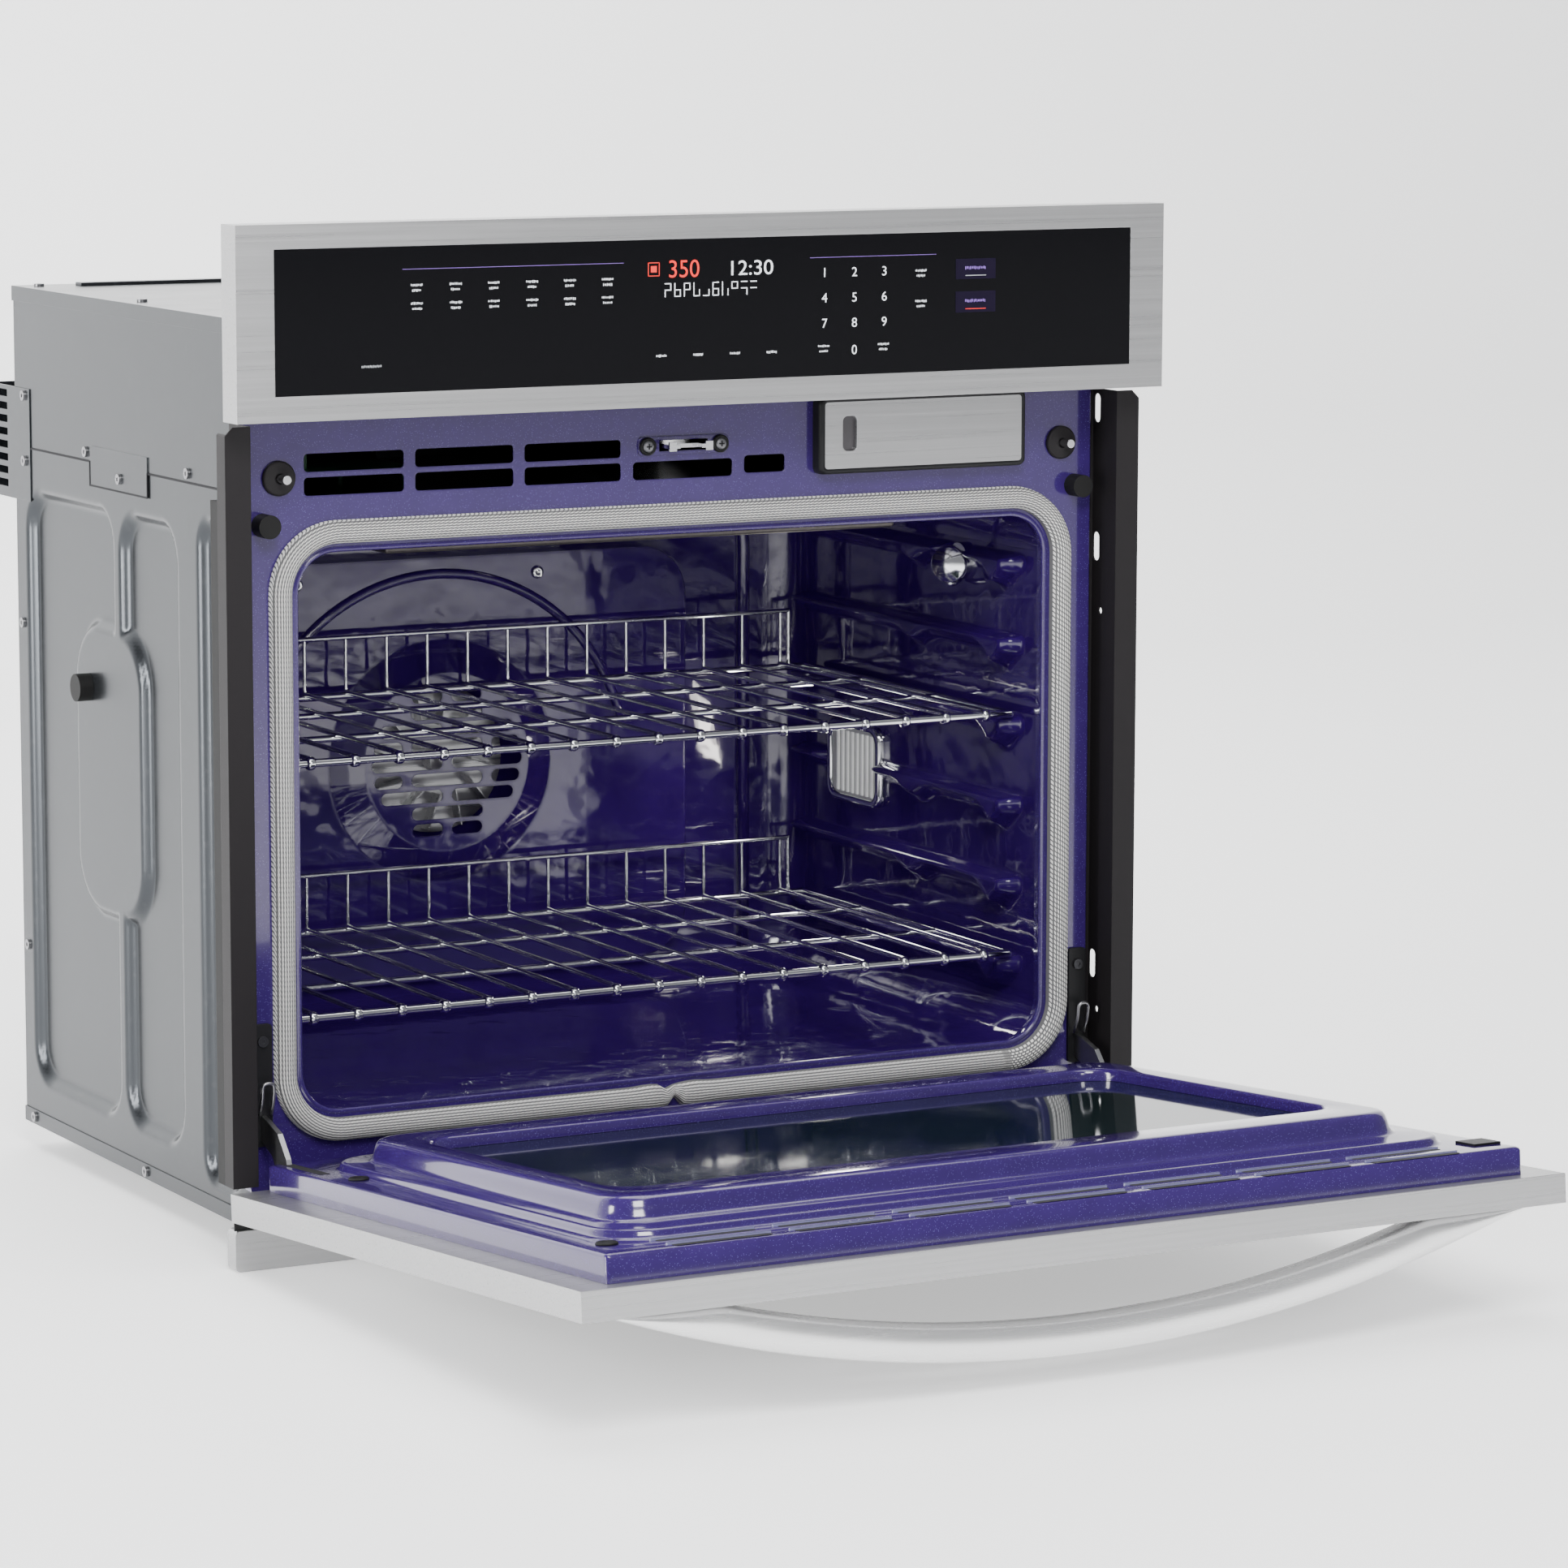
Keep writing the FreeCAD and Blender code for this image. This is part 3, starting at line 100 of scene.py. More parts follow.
def material(name, color, rough, metal=0.0, grain=(60, 60, 60), rough_by=0.05, tint=0.06,
             bump=0.02, edge=0.0006, coat=0.0, detail=3.0, emit=0.0, depth=0.0004, shine=0.5):
    """A finish whose colour, roughness and surface vary with a stretched noise.

    edge is the radius in metres that rounds sharp corners, and depth the bump's height.
    """
    m = bpy.data.materials.new(name)
    m.use_nodes = True
    tree = m.node_tree
    tree.nodes.clear()
    link = tree.links.new
    out = node(tree, "ShaderNodeOutputMaterial")
    bsdf = node(tree, "ShaderNodeBsdfPrincipled")
    bsdf.inputs["Metallic"].default_value = metal
    bsdf.inputs["Coat Weight"].default_value = coat
    bsdf.inputs["Specular IOR Level"].default_value = shine
    bsdf.inputs["Coat Roughness"].default_value = 0.04
    link(bsdf.outputs[0], out.inputs[0])
    coords = node(tree, "ShaderNodeTexCoord")
    mapping = node(tree, "ShaderNodeMapping", Scale=grain)
    noise = node(tree, "ShaderNodeTexNoise", Scale=1.0, Detail=detail, Roughness=0.6)
    link(coords.outputs["Object"], mapping.inputs[0])
    link(mapping.outputs[0], noise.inputs["Vector"])
    ramp = node(tree, "ShaderNodeMix", data_type="RGBA")
    dark = [c * (1 - tint) for c in color] + [1]
    light = [min(1, c * (1 + tint)) for c in color] + [1]
    ramp.inputs[6].default_value = dark
    ramp.inputs[7].default_value = light
    link(noise.outputs["Fac"], ramp.inputs[0])
    link(ramp.outputs[2], bsdf.inputs["Base Color"])
    spread = node(tree, "ShaderNodeMapRange")
    spread.inputs["To Min"].default_value = max(0.01, rough - rough_by)
    spread.inputs["To Max"].default_value = rough + rough_by
    link(noise.outputs["Fac"], spread.inputs["Value"])
    link(spread.outputs[0], bsdf.inputs["Roughness"])
    relief = node(tree, "ShaderNodeBump", Strength=bump, Distance=depth)
    link(noise.outputs["Fac"], relief.inputs["Height"])
    if edge:
        bevel = node(tree, "ShaderNodeBevel", Radius=edge, samples=4)
        link(bevel.outputs[0], relief.inputs["Normal"])
    link(relief.outputs[0], bsdf.inputs["Normal"])
    if emit:
        bsdf.inputs["Emission Color"].default_value = list(color) + [1]
        bsdf.inputs["Emission Strength"].default_value = emit
    return m


def speckled(m, scale, size, color):
    """Adds fine specks of another colour to a finish."""
    tree = m.node_tree
    bsdf = next(n for n in tree.nodes if n.type == "BSDF_PRINCIPLED")
    under = bsdf.inputs["Base Color"].links[0].from_socket
    coords = next(n for n in tree.nodes if n.type == "TEX_COORD")
    cells = node(tree, "ShaderNodeTexVoronoi", Scale=scale)
    tree.links.new(coords.outputs["Object"], cells.inputs["Vector"])
    near = node(tree, "ShaderNodeMath", operation="LESS_THAN")
    near.inputs[1].default_value = size
    tree.links.new(cells.outputs["Distance"], near.inputs[0])
    mix = node(tree, "ShaderNodeMix", data_type="RGBA")
    mix.inputs[7].default_value = list(color) + [1]
    tree.links.new(near.outputs[0], mix.inputs[0])
    tree.links.new(under, mix.inputs[6])
    tree.links.new(mix.outputs[2], bsdf.inputs["Base Color"])
    return m


def braided(name):
    """Woven glass-fibre sleeve: pale strands with rows of painted shade in the gaps between them,
    following the loop.
    """
    m = material(name, (0.88, 0.87, 0.84), 0.85, grain=(900, 900, 900), edge=0, bump=0.3)
    tree = m.node_tree
    bsdf = next(n for n in tree.nodes if n.type == "BSDF_PRINCIPLED")
    under = bsdf.inputs["Base Color"].links[0].from_socket
    relief = bsdf.inputs["Normal"].links[0].from_node
    uv = node(tree, "ShaderNodeTexCoord")
    cells = node(tree, "ShaderNodeTexBrick", Scale=1.0)
    cells.inputs["Brick Width"].default_value = 0.0036
    cells.inputs["Row Height"].default_value = 0.0027
    cells.inputs["Mortar Size"].default_value = 0.0008
    cells.inputs["Mortar Smooth"].default_value = 0.4
    tree.links.new(uv.outputs["UV"], cells.inputs["Vector"])
    # Painted shade: near-black mortar in the gaps between the strands.
    mix = node(tree, "ShaderNodeMix", data_type="RGBA")
    mix.inputs[7].default_value = (0.05, 0.05, 0.055, 1)
    scale = node(tree, "ShaderNodeMath", operation="MULTIPLY")
    scale.inputs[1].default_value = 0.9
    tree.links.new(cells.outputs["Fac"], scale.inputs[0])
    tree.links.new(scale.outputs[0], mix.inputs[0])
    tree.links.new(under, mix.inputs[6])
    tree.links.new(mix.outputs[2], bsdf.inputs["Base Color"])
    weave = node(tree, "ShaderNodeBump", Strength=0.7, Distance=0.0008, invert=True)
    tree.links.new(cells.outputs["Fac"], weave.inputs["Height"])
    tree.links.new(relief.outputs[0], weave.inputs["Normal"])
    tree.links.new(weave.outputs[0], bsdf.inputs["Normal"])
    return m


ENAMEL = speckled(
    material("enamel", (0.027, 0.010, 0.100), 0.14, grain=(35, 35, 35), rough_by=0.04, tint=0.2,
             bump=0.05, edge=0.002, coat=0.7), 700, 0.16, (0.11, 0.09, 0.32))
# Painted light: the cavity's enamel glows (emit=0.12) in place of the light bouncing round the lit
# cavity. The fan cover, guides, back rib and baffle arch share this glow.
CAVITY = material("cavity_enamel_painted_glow", (0.018, 0.003, 0.080), 0.07, grain=(26, 26, 26),
                  rough_by=0.03, tint=0.3, bump=1.0, edge=0.003, coat=0.6, detail=1.5,
                  depth=0.0016, emit=0.12)
GALV = speckled(
    material("galvanised", (0.046, 0.050, 0.055), 0.24, 0.8, (25, 25, 25), 0.04, 0.06, 0.01,
             0.0008), 90, 0.22, (0.052, 0.056, 0.061))
STEEL = material("stainless", (0.43, 0.43, 0.435), 0.30, 0.8, (3, 450, 450), 0.10, 0.16, 0.12,
                 0.0008)
FINISH = {
    "galvanised": GALV,
    "enamel": ENAMEL,
    "stainless": STEEL,
    "charcoal_paint": material("charcoal_paint", (0.012, 0.0105, 0.0115), 0.5,
                               grain=(900, 900, 900), bump=0.12, edge=0.0008, shine=0.2),
    "black_paint": material("black_paint", (0.006, 0.006, 0.007), 0.45, grain=(700, 700, 700),
                            bump=0.1, shine=0.3),
    "panel_glass": material("panel_glass", (0.003, 0.003, 0.004), 0.10, grain=(12, 12, 12),
                            rough_by=0.01, bump=0.0, edge=0.0004, shine=0.15),
    "window_glass": material("window_glass", (0.006, 0.013, 0.015), 0.05, grain=(9, 9, 9),
                             rough_by=0.02, tint=0.2, bump=0.0, edge=0),
    "lamp_glass": material("lamp_glass", (0.62, 0.63, 0.60), 0.12, grain=(20, 500, 20), bump=0.4,
                           coat=0.6),
    "chrome": material("chrome", (0.74, 0.74, 0.76), 0.12, 1.0, (80, 80, 80), 0.04, 0.04, 0.01,
                       0.0003),
    "zinc_screw": material("zinc_screw", (0.30, 0.30, 0.31), 0.34, 1.0, (300, 300, 300), 0.08,
                           0.1, 0.05, 0.0003),
    "dark_screw": material("dark_screw", (0.05, 0.05, 0.055), 0.35, 0.8, (300, 300, 300), 0.08,
                           0.1, 0.05, 0.0003),
    "rubber": material("rubber", (0.005, 0.005, 0.005), 0.6, grain=(900, 900, 900), bump=0.15,
                       shine=0.25),
    "gasket": braided("gasket"),
    "insulation": material("insulation", (0.72, 0.66, 0.50), 0.95, grain=(300, 60, 300),
                           tint=0.25, bump=0.8, edge=0),
    "black_plastic": material("black_plastic", (0.004, 0.004, 0.005), 0.5,
                              grain=(900, 900, 900), bump=0.1, shine=0.3),
    "tank_plastic": material("tank_plastic", (0.05, 0.045, 0.05), 0.22, grain=(40, 40, 40),
                             bump=0.02, coat=0.5, edge=0.001),
    "heater": material("heater", (0.10, 0.09, 0.085), 0.45, 0.7, (200, 200, 200), tint=0.3,
                       edge=0),
    "aluminium": material("aluminium", (0.6, 0.6, 0.61), 0.35, 1.0, (90, 90, 90), 0.08, 0.08,
                          0.08),
    "circuit": material("circuit", (0.03, 0.16, 0.06), 0.35, grain=(400, 400, 400), tint=0.3),
}
HANDLE = material("handle_steel", (0.80, 0.80, 0.80), 0.26, 0.8, (3, 400, 400), 0.06, 0.06, 0.0,
                  0)
LENS = material("lens_ribs", (0.75, 0.76, 0.74), 0.15, grain=(60, 300, 300), coat=0.6, emit=0.25)
# Painted highlight: the vents' raised lips are coloured a lighter blue than the enamel, standing in
# for the light they catch.
LOUVRE_HIGHLIGHT = material("louvre_edge_painted_highlight", (0.20, 0.20, 0.36), 0.2, grain=(60, 60, 60), coat=0.6)
HEAD = material("recess_head", (0.16, 0.16, 0.17), 0.35, 0.6, (300, 300, 300), 0.08, 0.1, 0.05,
                0.0002)
DARK = material("slot_shadow", (0.004, 0.004, 0.006), 0.8, grain=(300, 300, 300), edge=0)


def lit(name, color, rough, glow):
    """A printed or glowing mark on the control panel."""
    return material(name, color, rough, grain=(90, 90, 90), edge=0, emit=glow)


RED = lit("red_digits", (0.9, 0.02, 0.01), 0.5, 0.25)
WHITE = lit("white_marks", (0.85, 0.88, 0.92), 0.5, 0.28)
FAINT = lit("faint_marks", (0.42, 0.44, 0.46), 0.5, 0.15)
PURPLE = lit("touch_marks", (0.24, 0.13, 0.50), 0.35, 0.25)
KEYS = material("touch_keys", (0.007, 0.004, 0.016), 0.3, grain=(90, 90, 90), edge=0, shine=0.15)
BRIGHT = material("bright_screw", (0.80, 0.80, 0.80), 0.2, 1.0, (300, 300, 300), 0.05, 0.05,
                  0.03, 0.0003)

for entry in record["subparts"]:
    mesh_data = frame["nodes"][entry["node"]].data
    mesh_data.materials.clear()
    mesh_data.materials.append(FINISH[entry["material_slot"]])
frame["nodes"]["fan_cover"].data.materials[0] = CAVITY


# ------------------------------------------------------------ mesh helpers
def at(x, y, z):
    """A point in millimetres from the panel's front face and the bottom trim's lower edge."""
    return Vector((x * MM, FRONT + y * MM, BASE + z * MM))


def placed(name, data):
    """A new object in the scene that shows this data."""
    obj = bpy.data.objects.new(name, data)
    bpy.context.scene.collection.objects.link(obj)
    return obj


def add_mesh(name, points, faces, finish, body="oven", smooth=True, uvs=None):
    """A piece from points laid out like the closed oven; the door's pieces are swung open."""
    place = DOOR if body == "door" else Matrix.Identity(4)
    data = bpy.data.meshes.new(name)
    data.from_pydata([tuple(place @ at(*p)) for p in points], [], faces)
    data.materials.append(finish)
    if uvs:
        layer = data.uv_layers.new(name="uv")
        for loop in data.loops:
            layer.data[loop.index].uv = uvs[loop.vertex_index]
    for poly in data.polygons:
        poly.use_smooth = smooth
    data.validate()
    obj = placed(name, data)
    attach(obj, body)
    return obj


def rounded_loop(x0, x1, z0, z1, r, y, steps=9):
    """Points around a rounded rectangle in the plane of the front, starting at the lower right.

    There are 4 * (steps + 1) of them.
    """
    points = []
    corners = ((x1 - r, z0 + r, -90), (x1 - r, z1 - r, 0), (x0 + r, z1 - r, 90),
               (x0 + r, z0 + r, 180))
    for cx, cz, a0 in corners:
        for i in range(steps + 1):
            a = math.radians(a0 + 90 * i / steps)
            points.append((cx + r * math.cos(a), y, cz + r * math.sin(a)))
    return points


def circle(centre, u, v, r, steps):
    """Points around a circle spanned by the directions u and v."""
    turns = [2 * math.pi * i / steps for i in range(steps)]
    return [tuple(centre + u * r * math.cos(a) + v * r * math.sin(a)) for a in turns]


def loft(rings):
    """The points of rings of equal length, and the faces between them."""
    n = len(rings[0])
    points = [p for ring in rings for p in ring]
    faces = []
    for k in range(len(rings) - 1):
        a, b = k * n, (k + 1) * n
        faces += [(a + i, a + (i + 1) % n, b + (i + 1) % n, b + i) for i in range(n)]
    return points, faces


def capped(rings):
    """A loft with both ends closed."""
    points, faces = loft(rings)
    n = len(rings[0])
    faces.append(tuple(range(n))[::-1])
    faces.append(tuple(range(len(points) - n, len(points))))
    return points, faces


def grid_faces(across, down):
    """Faces over a grid of points that is stored row by row."""
    corners = (j * across + i for j in range(down - 1) for i in range(across - 1))
    return [(k, k + 1, k + across + 1, k + across) for k in corners]


def span(side, near, far):
    """The lower and upper x of a slab on one side of the oven."""
    return tuple(sorted((side * near, side * far)))


def lathe(name, centre, axis, profile, finish, body="oven", steps=32):
    """A round piece: profile pairs are (radius, height along the axis)."""
    axis = Vector(axis).normalized()
    side = axis.orthogonal().normalized()
    other = axis.cross(side)
    rings = [circle(Vector(centre) + axis * h, side, other, r, steps) for r, h in profile]
    points, faces = capped(rings)
    return add_mesh(name, points, faces, finish, body)


def tube(name, path, r, finish, sides=12):
    """A round wire along a path of points."""
    path = [Vector(p) for p in path]
    rings = []
    up = None
    for before, p, after in zip(path[:1] + path, path, path[1:] + path[-1:]):
        along = (after - before).normalized()
        up = along.orthogonal() if up is None else up - along * up.dot(along)
        up.normalize()
        rings.append(circle(p, up, along.cross(up), r, sides))
    points, faces = capped(rings)
    return add_mesh(name, points, faces, finish)


def bent(path, r, steps=6):
    """The same path with its inner corners rounded to radius r."""
    path = [Vector(p) for p in path]
    out = [path[0]]
    for a, b, c in zip(path, path[1:], path[2:]):
        u, v = (a - b).normalized(), (c - b).normalized()
        reach = min(r, (a - b).length / 2, (c - b).length / 2)
        for i in range(steps + 1):
            t = i / steps
            start, end = b + u * reach, b + v * reach
            out.append(start * (1 - t) ** 2 + b * 2 * t * (1 - t) + end * t ** 2)
    return out + [path[-1]]


def plates(name, boxes, finish, body="oven"):
    """Thin rectangular details in one piece; each box is x0, x1, y0, y1, z0, z1."""
    sides = ((0, 1, 3, 2), (4, 6, 7, 5), (0, 4, 5, 1), (2, 3, 7, 6), (0, 2, 6, 4), (1, 5, 7, 3))
    points, faces = [], []
    for x0, x1, y0, y1, z0, z1 in boxes:
        k = len(points)
        points += [(x, y, z) for x in (x0, x1) for y in (y0, y1) for z in (z0, z1)]
        faces += [tuple(k + i for i in f) for f in sides]
    return add_mesh(name, points, faces, finish, body, smooth=False)


def pills(name, slots, y0, y1, finish, body="oven"):
    """Round-ended flat details facing the front; each is x0, x1, z, height."""
    points, faces = [], []
    steps = 5
    n = 4 * (steps + 1)
    for x0, x1, z, h in slots:
        k = len(points)
        for y in (y0, y1):
            points += rounded_loop(x0, x1, z - h / 2, z + h / 2, h / 2 - 0.01, y, steps)
        faces += [(k + i, k + (i + 1) % n, k + n + (i + 1) % n, k + n + i) for i in range(n)]
        faces += [tuple(range(k, k + n)), tuple(range(k + n, k + 2 * n))[::-1]]
    return add_mesh(name, points, faces, finish, body, smooth=False)


def digits(name, text, x, z, height, finish, width=None):
    """Plain numerals standing just proud of the glass; x is the left end and z the baseline."""
    cap_height = 0.70        # of the built-in font's size
    y = 0.02
    curve = bpy.data.curves.new(name + "_outline", "FONT")
    curve.body = text
    curve.size = height / cap_height * MM
    curve.extrude = 0.00008
    source = placed(name + "_outline", curve)
    bpy.context.view_layer.update()
    data = bpy.data.meshes.new_from_object(source)
    bpy.data.objects.remove(source)
    data.materials.clear()
    data.materials.append(finish)
    if width:
        xs = [v.co.x for v in data.vertices]
        data.transform(Matrix.Diagonal((width * MM / (max(xs) - min(xs)), 1, 1, 1)))
    data.transform(Matrix.Translation(at(x, y, z)) @ Matrix.Rotation(math.pi / 2, 4, "X"))
    data.name = name
    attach(placed(name, data), "oven")


def smooth_step(t):
    """Rises from 0 to 1 with level ends."""
    t = np.clip(t, 0, 1)
    return t * t * (3 - 2 * t)


# ------------------------------------------------------------ chassis
def rounded_distance(y, z, y0, y1, z0, z1, r):
    """Signed distance inside a rounded rectangle, positive within."""
    qy = np.abs(y - (y0 + y1) / 2) - (y1 - y0) / 2 + r
    qz = np.abs(z - (z0 + z1) / 2) - (z1 - z0) / 2 + r
    outside = np.hypot(np.maximum(qy, 0), np.maximum(qz, 0))
    return r - outside - np.minimum(np.maximum(qy, qz), 0)


def side_depth(y, z):
    """How far the pressed side panel lies in from its face."""
    fields = np.maximum.reduce([rounded_distance(y, z, 193, 305, 55, 522, 32),
                                rounded_distance(y, z, 317, 495, 55, 522, 32),
                                rounded_distance(y, z, 84, 154, 40, 531, 22)])
    pill = rounded_distance(y, z, 268, 396, 214, 427, 42)
    inside = np.minimum(fields, -pill)
    press, slope = 7.0, 9.0
    return press * smooth_step((inside + 1.0) / slope)


def side_panels():
    """Both sides, pressed inwards in four fields around a raised pill."""
    lo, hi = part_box("left_side_panel")
    y0, y1 = (lo[1] - FRONT) / MM, (hi[1] - FRONT) / MM
    z0, z1 = (lo[2] - BASE) / MM, (hi[2] - BASE) / MM
    face = lo[0] / MM
    ny, nz = 184, 214
    ys, zs = np.linspace(y0, y1, ny), np.linspace(z0, z1, nz)
    grid_y, grid_z = np.meshgrid(ys, zs)
    depth = side_depth(grid_y, grid_z)
    for tag, side in SIDES:
        points = [(-side * (face + d), y, z) for y, z, d in
                  zip(grid_y.ravel(), grid_z.ravel(), depth.ravel())]
        faces = grid_faces(ny, nz)
        if side < 0:
            faces = [face_points[::-1] for face_points in faces]
        name = tag + "_side_panel"
        obj = add_mesh(name + "_pressed", points, faces, GALV)
        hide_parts(name)


def chassis_details():
    for tag, side in SIDES:
        lathe(tag + "_bumper_cap", (side * CHASSIS_X, 371, 381), (side, 0, 0),
              [(10.4, 0.2), (10.4, 8.5), (9.3, 10.5), (7.0, 11.0), (6.0, 9.0), (0.1, 9.0)],
              FINISH["rubber"])
        a, b = span(side, 369.5, 375.5)
        plates(tag + "_cabinet_seal", [(a, b, 43.5, 56, 61, 552)], FINISH["rubber"])
        a, b = span(side, CHASSIS_X, CHASSIS_X + 0.5)
        # Painted shadow: a near-black strip just under the upper cover's lower edge, where the
        # overlapping cover casts its shadow line.
        edge_shadow = [(a, b, 359, 516, 552.6, 554), (a, b, 70, 246, 552.6, 554)]
        plates(tag + "_cover_edge_shadow", edge_shadow, DARK)
        a, b = span(side, CHASSIS_X + 1, CHASSIS_X + 1.4)
        tongue = [(a, b, 246, 359, 535, 536.2), (a, b, 245, 246.2, 535, 554),
                  (a, b, 358.8, 360, 535, 554)]
        plates(tag + "_tongue_shadow", tongue, DARK)
    rows, width, height = 9, 36, 4.0
    for k, x0 in enumerate((-312, -262)):
        points = []
        for t in np.linspace(0, 1, rows):
            lift = height * math.sin(math.pi * t) ** 0.7
            points += [(x0 + width * u, 90 + 14 * t, 677 + lift * math.sin(math.pi * u) ** 0.5)
                       for u in np.linspace(0.0, 1.0, rows)]
        add_mesh("top_louvre_%d" % k, points, grid_faces(rows, rows), GALV)
    plates("top_rear_flange", [(-300, 300, 488, 500, 677, 679.5)], GALV)


# ------------------------------------------------------------ door
def liner_rings():
    """The enamelled liner from its outer edge up over both steps to the window's edge.

    Each edge is (half width, bottom, top). Each ring is an edge, its inset, its corner radius
    and its y.
    """
    rim = (352.5, 45.0, 585.5)
    step = (329.0, 82.0, 549.0)
    plateau = (311.0, 103.0, 514.0)
    window = (281.0, 150.0, 466.0)
    plan = [(rim, 0, 3, 20.6), (rim, 0, 3, 37.4), (rim, 0.5, 3.5, 38.9), (rim, 1.6, 4.5, 39.8),
            (rim, 3.2, 6, 40.0), (step, -2, 42, 40.0), (step, 0, 40, 40.1), (step, 1.2, 39, 40.9),
            (step, 2.2, 38, 43.0), (step, 3.0, 37, 45.0), (step, 4.4, 36, 45.9),
            (step, 6.0, 35, 46.0),
            (plateau, -1.5, 34, 46.0), (plateau, 0, 33, 46.3), (plateau, 1.6, 31, 47.6),
            (plateau, 3.0, 30, 50.2), (plateau, 4.4, 28, 54.5), (plateau, 6.0, 27, 58.8),
            (plateau, 7.6, 26, 60.8), (plateau, 9.8, 25, 61.8), (plateau, 12.0, 24, 62.0),
            (window, -3.4, 28, 62.0), (window, -1.6, 27, 61.6), (window, -0.5, 26.4, 60.4),
            (window, 0, 26, 58.6), (window, 0.2, 26, 53.2)]
    return [rounded_loop(-x + i, x - i, z0 + i, z1 - i, r, y)
            for (x, z0, z1), i, r, y in plan]


def door_pieces():
    face = 39.9              # liner's rim, just under its surface
    points, faces = loft(liner_rings())
    liner = add_mesh("door_liner_pressed", points, faces, ENAMEL, "door")
    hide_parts("door_liner")
    spots = [(x, z) for z in (553, 576) for x in np.linspace(-267, 267, 7)]
    lips = [(x - 38, x + 38, z, 2.6) for x, z in spots]
    # The raised lips carry painted highlight colour.
    pills("liner_louvres", lips, face, 41.3, LOUVRE_HIGHLIGHT, "door")
    slots = [(x - 36, x + 36, z + 5.2, 6.5) for x, z in spots]
    pills("liner_vents", slots, face, 40.15, DARK, "door")
    for tag, side in SIDES:
        x = side * HINGE_X
        plates(tag + "_hinge_slot", [(x - 4, x + 4, face, 40.15, 47, 121)], DARK, "door")
    for k, z in enumerate((162, 549)):
        lathe("liner_pad_%d" % k, (-333.5, 40, z), (0, 1, 0),
              [(7.5, 0.0), (7.5, 1.0), (6.6, 1.8), (3.5, 2.0), (3.0, 1.4), (0.1, 1.4)],
              FINISH["rubber"], "door")


def handle():
    """A rounded bow: thin at its ends, where it lies on the door, and full in the middle."""
    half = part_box("door_handle")[1][0] / MM
    grip = 272.0             # half length of the gap behind the bow
    out, gap = 64.0, 38.0    # bow's and gap's reach from the door
    sides = 28

    def arc(x, reach, rise):
        """A circular arc over 2 * reach, standing rise high in the middle."""
        if abs(x) >= reach:
            return 0.0
        radius = (reach * reach + rise * rise) / (2 * rise)
        return math.sqrt(max(0.0, radius * radius - x * x)) - (radius - rise)

    rings = []
    for x in half * np.sin(np.linspace(-math.pi / 2, math.pi / 2, 81)) * 0.998:
        outer, inner = max(arc(x, half, out), 0.6), arc(x, grip, gap)
        middle, deep = -(outer + inner) / 2, max((outer - inner) / 2, 0.3)
        ring = []
        for k in range(sides):
            a = 2 * math.pi * k / sides
            c, w = math.cos(a), math.sin(a)
            ring.append((x, middle + deep * math.copysign(abs(c) ** 0.75, c),
                         578.5 + 13.5 * math.copysign(abs(w) ** 0.6, w)))
        rings.append(ring)
    points, faces = capped(rings)
    bow = add_mesh("handle_bow", points, faces, HANDLE, "door")
    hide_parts("door_handle")


# ------------------------------------------------------------ front frame
def gasket_profile():
    """Sideways and outward offsets across the tubular gasket."""
    half, height = 8.4, 10.4
    return [(0.6 + half - half * math.cos(a), FRAME_Y - height * math.sin(a) ** 0.75)
            for a in np.linspace(0, math.pi, 15)]


def pinched(p, low):
    """Where the gasket's two ends meet, low down near the middle, they are tied together."""
    x, y, z = p
    if z > low + 20:
        return p
    off = x - GASKET_TIE
    centre = low + 9
    tie = math.exp(-(off / 5) ** 2)
    swell = math.exp(-((abs(off) - 19) / 9) ** 2)
    lap = 3.5 * tie * (1 if off > 0 else -1)
    z = centre + (z - centre) * (1 - 0.55 * tie + 0.12 * swell) + lap
    return x, FRAME_Y - (FRAME_Y - y) * (1 - 0.5 * tie + 0.03 * swell), z


def gasket():
    lo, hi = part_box("door_gasket")
    x1, z0, z1 = hi[0] / MM, (lo[2] - BASE) / MM, (hi[2] - BASE) / MM
    rings, uvs = [], []
    for inset, y in gasket_profile():
        ring = rounded_loop(-x1 + inset, x1 - inset, z0 + inset, z1 - inset, GASKET_R - inset, y,
                            14)
        low_edge = np.linspace(x1 - GASKET_R, -x1 + GASKET_R, 90)[1:-1]
        ring += [(x, y, z0 + inset) for x in low_edge][::-1]
        ring = [pinched(p, z0) for p in ring]
        rings.append(ring)
        run = 0.0
        before = ring[0]
        for p in ring:
            run += math.dist(before, p)
            before = p
            uvs.append((run * MM, inset * MM * 1.4))
    points, faces = loft(rings)
    obj = add_mesh("gasket_braid", points, faces, FINISH["gasket"], uvs=uvs)
    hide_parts("door_gasket")


def mouth():
    """The rolled enamel lip around the cavity's mouth."""
    x, z0, z1 = 309.0, 105.0, 511.0
    r = 30
    plan = [(-3.4, 56.98), (-2.0, 56.4), (-0.4, 56.2), (0.5, 57.0), (0.7, 58.6), (0.5, 62.0),
            (0.0, 66.0)]
    rings = [rounded_loop(-x + i, x - i, z0 + i, z1 - i, r - i, y, 12) for i, y in plan]
    points, faces = loft(rings)
    add_mesh("mouth_lip", points, faces, ENAMEL)


def plungers():
    for tag, side in SIDES:
        lathe(tag + "_plunger_disc", (side * 323, FRAME_Y, 565), (0, -1, 0),
              [(12.6, 0.0), (12.6, 2.2), (12.0, 3.2), (10.8, 3.5), (6.0, 3.6), (4.6, 4.4),
               (3.5, 4.2), (3.3, 3.0)], FINISH["charcoal_paint"])


